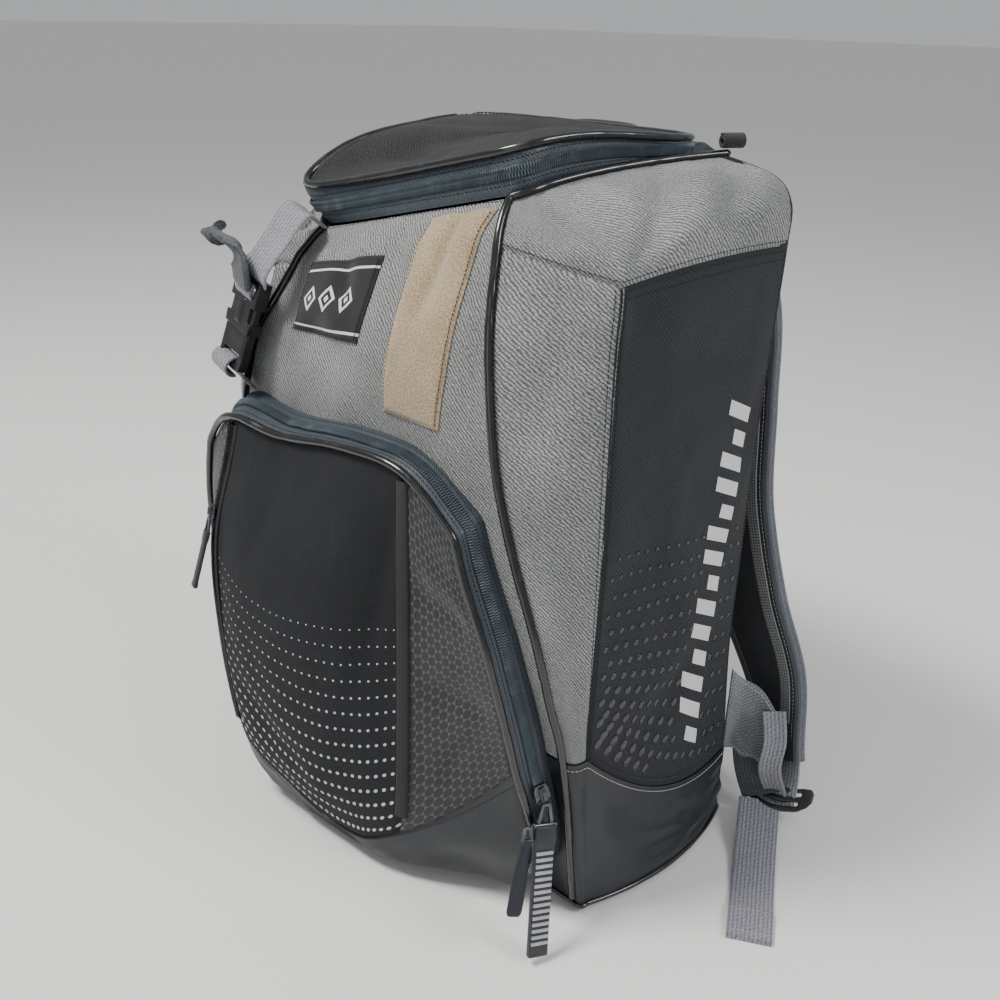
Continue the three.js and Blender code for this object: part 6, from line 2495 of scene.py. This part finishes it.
STRAP_ROUTE = (
    (0.40, 1.190, 0.950, 0.94),
    (0.42, 1.42, 0.952, 0.94),
    (0.52, 1.72, 0.905, 1.00),
    (0.66, 1.80, 0.790, 1.00),
    (0.71, 1.79, 0.640, 1.00),
    (0.76, 1.77, 0.480, 1.00),
    (0.90, 1.76, 0.330, 0.98),
    (1.08, 1.73, 0.210, 0.90),
    (1.23, 1.60, 0.085, 0.52),
)


@dataclass
class ShoulderStrap:
    """One padded strap with its binding, ladder lock, wing of webbing and free tail."""

    body: Body
    name: str
    side: int
    pad_width: float = 62.0
    pad_thickness: float = 12.0
    lock_width: float = 52.0
    lock_height: float = 18.0
    lock_bend: float = 9.0
    tail_width: float = 30.0
    webbing: float = 1.8

    def place(self, x: float, y: float, z: float) -> Array:
        """A point given by shares of the body's sizes, on this strap's side."""
        b = self.body
        return np.array([self.side * x * b.half_width, y * b.half_depth, z * b.height])

    def lines(self) -> tuple[Array, Array, Array, Array, Array]:
        """Middle line of the pad with its across, facing and tangent directions and its widths."""
        table = np.array(STRAP_ROUTE)
        straight = [1.0, 0.0, 0.05 * self.side]
        turned = [0.9, -0.25 * self.side, 0.28 * self.side]
        points = [self.place(*row[:3]) for row in table]
        line, sides = route(points, [straight, straight, straight, turned], 190)
        widths = spline(table[:, 3], np.linspace(0.0, 1.0, 191)) * self.pad_width
        tangent, across, facing = frames_along(line, sides)
        return line, across, facing, tangent, widths

    def build_pad(self) -> None:
        """The padded strap, its bound edges, its perforated strip and its stitching."""
        line, across, facing, _, widths = self.lines()
        turn = np.linspace(0.0, 2.0 * math.pi, 40, endpoint=False)
        c, s = np.cos(turn), np.sin(turn)
        x = np.sign(c) * np.abs(c) ** 0.45
        y = np.sign(s) * np.abs(s) ** 0.8
        length = distances(line)
        cloth_x, cloth_y = np.meshgrid(x * self.pad_width / 2, length)
        soft = 0.5 * noise(cloth_x / 14.0 + 3.0 * self.side, cloth_y / 20.0, 201 + self.side)
        thick = self.pad_thickness / 2 * (1.0 - 0.28 * np.abs(x) ** 3)[None] + soft * np.abs(y)[None]
        rings = line[:, None] + across[:, None] * (x[None] * (widths[:, None] / 2 - 2.0))[..., None]
        rings = rings + facing[:, None] * (y[None] * thick)[..., None]
        pad = settle(loft(f"{self.name}_strap_pad", rings), STRAP_MESH, f"{self.name}_strap_pad")
        for k, edge in enumerate((-1, 1)):
            path = line + across * (edge * (widths / 2 - 3.2))[:, None]
            binding = ribbon(f"{self.name}_strap_binding_{k}", path, across, 9.0, 8.6, corner=0.36)
            settle(binding, STRAP_BINDING)
            for face in (-1, 1):
                row = line + across * (edge * (widths / 2 - 6.6))[:, None] + facing * face * 4.5
                thread = stitches(f"{self.name}_binding_stitches_{k}_{face + 1}", row, facing * face)
                settle(thread, PALE_THREAD)
        outer = np.sign((across[100] * self.side)[0])
        ahead = -np.sign(facing[100][1])
        part = slice(95, 180)
        path = line[part] + across[part] * (outer * (widths[part] / 2 - 13.0))[:, None]
        path = path + facing[part] * ahead * 5.7
        holes = ribbon(f"{self.name}_strap_strip", path, across[part], 9.0, 1.2)
        settle(holes, PUNCHED_STRIP)

    def build_lock(self) -> tuple[Array, Array, Array]:
        """The curved ladder lock and the narrow webbing down to it.

        Returns:
            Middle of the lock, its downward and its across directions.
        """
        line, across, _, tangent, _ = self.lines()
        lock = self.place(1.27, 1.29, 0.042)
        drop = unit(lock - line[-1])
        over = np.array([0.86 * self.side, 0.4, 0.22])
        over = unit(over - drop * over.dot(drop))
        half = self.lock_width / 2
        slots = [Slot(3.2, 6.4, half - 8.0), Slot(10.6, 13.8, half - 9.0)]
        bench = flat_block(f"{self.name}_ladder_lock", self.lock_height, self.lock_width, slots)
        bench.edit()
        bench.cut_at("y", [half * share for share in (-0.9, -0.6, -0.3, 0.0, 0.3, 0.6, 0.9)])
        bench.cut_at("x", [8.5])
        bench.close()
        rows = sorted({round(vertex.co.y, 2) for vertex in bench.piece.data.vertices})
        for row in rows:
            bench.choose(lambda place, row=row: abs(place.y - row) < 0.02, "VERT")
            bench.move(-self.lock_bend * (row / half) ** 2, 0.0, -5.0 * (row / half) ** 2)
            bench.close()
        for far, share in ((0.85, 0.8), (0.95, 0.5)):
            bench.choose(lambda place, far=far: abs(place.y) > far * half, "VERT")
            bpy.ops.transform.resize(value=(share, 1.0, 1.0))
            bench.close()
        bench.apply("SOLIDIFY", thickness=4.4, offset=0.0)
        bench.round_edges(1.4, 4)
        start = lock - drop * self.lock_height / 2
        settle(bench.stand(start, drop, over), ACETAL, f"{self.name}_ladder_lock")
        turn = np.sign(across[-1].dot(over))
        under = np.cross(drop, over) * self.side
        under = under * (-np.sign(under[2]) or 1.0)
        through_slots = start + drop * (self.lock_height - 3.0) + under * 3.4
        points = [line[-1] - tangent[-1] * 6.0, mix(line[-1], start, 0.5), start + under * 1.5, through_slots]
        web, sides = route(points, [across[-1], over * turn], 40)
        webbing = ribbon(f"{self.name}_strap_webbing", web, sides, 30.0, 2.4, 0.4)
        settle(webbing, WEBBING, f"{self.name}_strap_webbing")
        return lock, drop, over

    def build_wing(self, lock: Array, drop: Array, over: Array) -> None:
        """The wing of webbing from the side seam, its wavy hem, and the narrow fold down to the lock."""
        b = self.body
        x, y = self.side * (1.038 * b.half_width + self.webbing), 1.05 * b.half_depth
        seam = [np.array([x, y, share * b.height]) for share in (0.118, 0.262)]
        steps = np.linspace(0.0, 1.0, 46)
        lows = [seam[0], [self.side * 178, 92, 51], [self.side * 188, 98, 44], [self.side * 199, 101, 38]]
        highs = [seam[1], [self.side * 181, 93, 112], [self.side * 190, 99, 106], [self.side * 199, 102, 95]]
        lows.append([self.side * 206, 103, 27])
        highs.append([self.side * 206, 103, 84])
        low, high = through(lows, 45), through(highs, 45)
        wave = np.sin(steps * 13.0) * smooth(0.15, 0.45, steps) * (1.0 - smooth(0.8, 1.0, steps))
        low = low + np.array([0.0, 0.5, 1.0]) * wave[:, None] * 2.2
        shares = spread(60.0, 3.0)
        places = low[None] + (high - low)[None] * shares[:, None, None]
        wing = Cut(f"{self.name}_wing_webbing", places, steps, shares, 2.2, 171, 1.0, 20.0, 0.5, 0.8)
        settle(wing.build(), WING_WEAVE, f"{self.name}_wing_webbing")
        for k, side in enumerate("bt"):
            row, facing = wing.line(side, 3.0, 0.15)
            settle(stitches(f"{self.name}_wing_stitches_{k}", row[2:-2], facing[2:-2]), PALE_THREAD)
        fold = [high[-8], [self.side * 209, 96, 72], [self.side * 209, 94, 48], lock - drop * 3.0]
        line, sides = route(fold, [[0.75 * self.side, 0.6, 0.3], [0.8 * self.side, 0.6, 0.0], over], 44)
        settle(ribbon(f"{self.name}_wing_fold", line, sides, 17.0, 3.2, 1.4, 0.4), WEBBING)

    def build_tail(self, lock: Array, drop: Array, over: Array) -> None:
        """The free tail of webbing, laid out on the floor, with its end turned over and sewn."""
        b = self.body
        lift = self.webbing / 2 + 0.4
        start = lock + drop * (self.lock_height / 2 - 4.0) - over * 0.2 * self.lock_width
        start[2] = max(start[2], lift + 3.0)
        behind = [[self.side * 187, 103, 60], [self.side * 193, 101, 38], start + [0, 2, 4]]
        line, sides = route(behind, [[0.8 * self.side, 0.6, -0.1], over], 30)
        settle(ribbon(f"{self.name}_tail_root", line, sides, self.tail_width, 2.2, 0.6), TAIL_WEBBING)
        end = np.array([self.side * 1.585 * b.half_width, -0.23 * b.half_depth, lift])
        points = []
        for t in (0.0, 0.2, 0.45, 0.7, 1.0):
            point = mix(start, end, t)
            point[2] = mix(start[2], lift, float(smooth(0.0, 0.5, t)))
            points.append(point)
        flat = [0.86, 0.5 * self.side, 0.0]
        line, sides = route(points, [flat, flat], 90)
        share = np.linspace(0.0, 1.0, 91)
        wave = 1.3 * np.sin(share * 9.0) ** 2 * smooth(0.2, 0.5, share) * (1.0 - smooth(0.8, 0.98, share))
        line[:, 2] = np.maximum(line[:, 2], lift) + wave
        tail = ribbon(f"{self.name}_webbing_tail", line, sides, self.tail_width, 2.0)
        settle(tail, WEBBING, f"{self.name}_webbing_tail")
        fold = ribbon(f"{self.name}_tail_fold", line[-17:] + [0, 0, 1.9], sides[-17:], self.tail_width, 1.8)
        settle(fold, WEBBING)
        for k in (-15, -4):
            reach = np.linspace(-0.42, 0.42, 12)[:, None] * self.tail_width
            row = reach * unit(sides[k]) + line[k] + [0, 0, 2.9]
            settle(stitches(f"{self.name}_tail_stitches_{-k}", row, row * 0 + [0, 0, 1]), PALE_THREAD)

    def build(self) -> None:
        """Builds the strap."""
        self.build_pad()
        lock = self.build_lock()
        self.build_wing(*lock)
        self.build_tail(*lock)


# Its holes are near-black dots: partly the dark pad behind the strip, partly painted shade inside the holes.
PUNCHED_STRIP = ClothFinish(
    "punched strip",
    "strap_pad",
    srgb(120, 122, 124),
    srgb(176, 177, 176),
    Weave.COATED,
    roughness=0.6,
    printed=Print.HOLES,
    ink=srgb(12, 12, 14),
    extent=(0.0022, 0.0022, 0.3, 150.0, 0.0006, 0.0006, 0.0),
)


@dataclass
class HaulLoop:
    """The carrying loop at the top of the back."""

    body: Body
    width: float = 20.0
    thickness: float = 3.0

    def build(self) -> None:
        """Builds the loop and a row of stitches at each of its ends."""
        b = self.body
        y, z, reach = 1.24 * b.half_depth, 0.985 * b.height, 0.26 * b.half_width
        points = [[-reach, y - 3, z - 3], [-reach * 0.7, y + 17, z + 8], [0, y + 24, z + 10]]
        points += [[reach * 0.7, y + 17, z + 8], [reach, y - 3, z - 3]]
        line, sides = route(points, [[0, 0.3, 1], [0, 0.3, 1]], 80)
        settle(ribbon("haul_loop", line, sides, self.width, self.thickness), DARK_WEBBING, "haul_loop")
        _, across, facing = frames_along(line, sides)
        for k, end in enumerate((slice(4, 16), slice(-16, -4))):
            row = line[end] + across[end] * 6.0 + facing[end] * 1.6
            settle(stitches(f"haul_loop_stitches_{k}", row, facing[end]), DARK_THREAD)


# ---------------------------------------------------------------- studio


@dataclass
class Studio:
    """Plain pale floor, soft lights and the camera fitted to the photograph."""

    lens: float = 39.6
    pitch: float = 24.0
    azimuth: float = 42.716
    roll: float = -1.547
    position: tuple[float, float, float] = (510.097, -534.402, 556.555)
    floor_size: float = 60.0

    def build_floor(self) -> None:
        """The floor, a smooth pale sheet."""
        bpy.ops.object.select_all(action="DESELECT")
        bpy.ops.mesh.primitive_plane_add(size=self.floor_size)
        floor = bpy.context.object
        floor.name = "floor"
        material, _, shader = new_material("pale floor")
        shader.inputs["Base Color"].default_value = (*srgb(236, 235, 232), 1.0)
        shader.inputs["Roughness"].default_value = 0.85
        floor.data.materials.append(material)

    def build_lights(self) -> None:
        """A key light from the upper front left, one from the right, a broad fill and a soft sky."""
        lights = (
            ("key", (-0.55, -0.85, 1.95), (0.0, 0.0, 0.25), 0.6, 44.0, (1.0, 0.99, 0.96)),
            ("side", (1.7, 0.5, 1.5), (0.0, 0.0, 0.25), 0.8, 20.0, (0.97, 0.98, 1.0)),
            ("fill", (0.6, -2.2, 1.0), (0.0, -0.05, 0.2), 1.6, 7.0, (0.94, 0.97, 1.0)),
        )
        for name, place, target, size, power, color in lights:
            data = bpy.data.lights.new(name, "AREA")
            data.shape, data.size, data.energy, data.color = "DISK", size, power, color
            lamp = bpy.data.objects.new(name, data)
            lamp.location = place
            lamp.rotation_euler = (Vector(target) - Vector(place)).to_track_quat("-Z", "Y").to_euler()
            bpy.context.scene.collection.objects.link(lamp)
        world = bpy.data.worlds.new("studio")
        world.use_nodes = True
        sky = world.node_tree.nodes["Background"]
        sky.inputs["Color"].default_value = (0.95, 0.97, 1.0, 1.0)
        sky.inputs["Strength"].default_value = 0.48
        bpy.context.scene.world = world

    def build_camera(self) -> None:
        """The camera, turned as the photograph's was."""
        a, p, r = (math.radians(value) for value in (self.azimuth, self.pitch, self.roll))
        level = np.array([-math.sin(a), math.cos(a), 0.0])
        side = np.array([math.cos(a), math.sin(a), 0.0])
        upright = np.array([0.0, 0.0, 1.0])
        ahead = math.cos(p) * level - math.sin(p) * upright
        down = -(math.cos(p) * upright + math.sin(p) * level)
        right = math.cos(r) * side + math.sin(r) * down
        below = -math.sin(r) * side + math.cos(r) * down
        data = bpy.data.cameras.new("camera")
        data.lens, data.sensor_width, data.sensor_fit = self.lens, 36.0, "HORIZONTAL"
        data.clip_start, data.clip_end = 0.05, 90.0
        camera = bpy.data.objects.new("camera", data)
        turn = Matrix.Identity(4)
        for row in range(3):
            turn[row][0], turn[row][1] = right[row], -below[row]
            turn[row][2], turn[row][3] = -ahead[row], self.position[row] * MM
        camera.matrix_world = turn
        bpy.context.scene.collection.objects.link(camera)
        bpy.context.scene.camera = camera

    def build(self) -> None:
        """Builds the studio."""
        self.build_floor()
        self.build_lights()
        self.build_camera()


def main() -> None:
    """Builds the pack piece by piece, then the studio."""
    logging.basicConfig(level=logging.INFO, format="%(name)s: %(message)s")
    body = Body()
    body.build()
    Lid(body).build()
    pocket = Pocket(body)
    pocket.build()
    ZipHardware(pocket).build()
    BuckleStrap(body).build()
    for name, side in (("right", 1), ("left", -1)):
        ShoulderStrap(body, name, side).build()
    HaulLoop(body).build()
    Studio().build()
    bpy.context.view_layer.update()


if __name__ == "__main__":
    main()
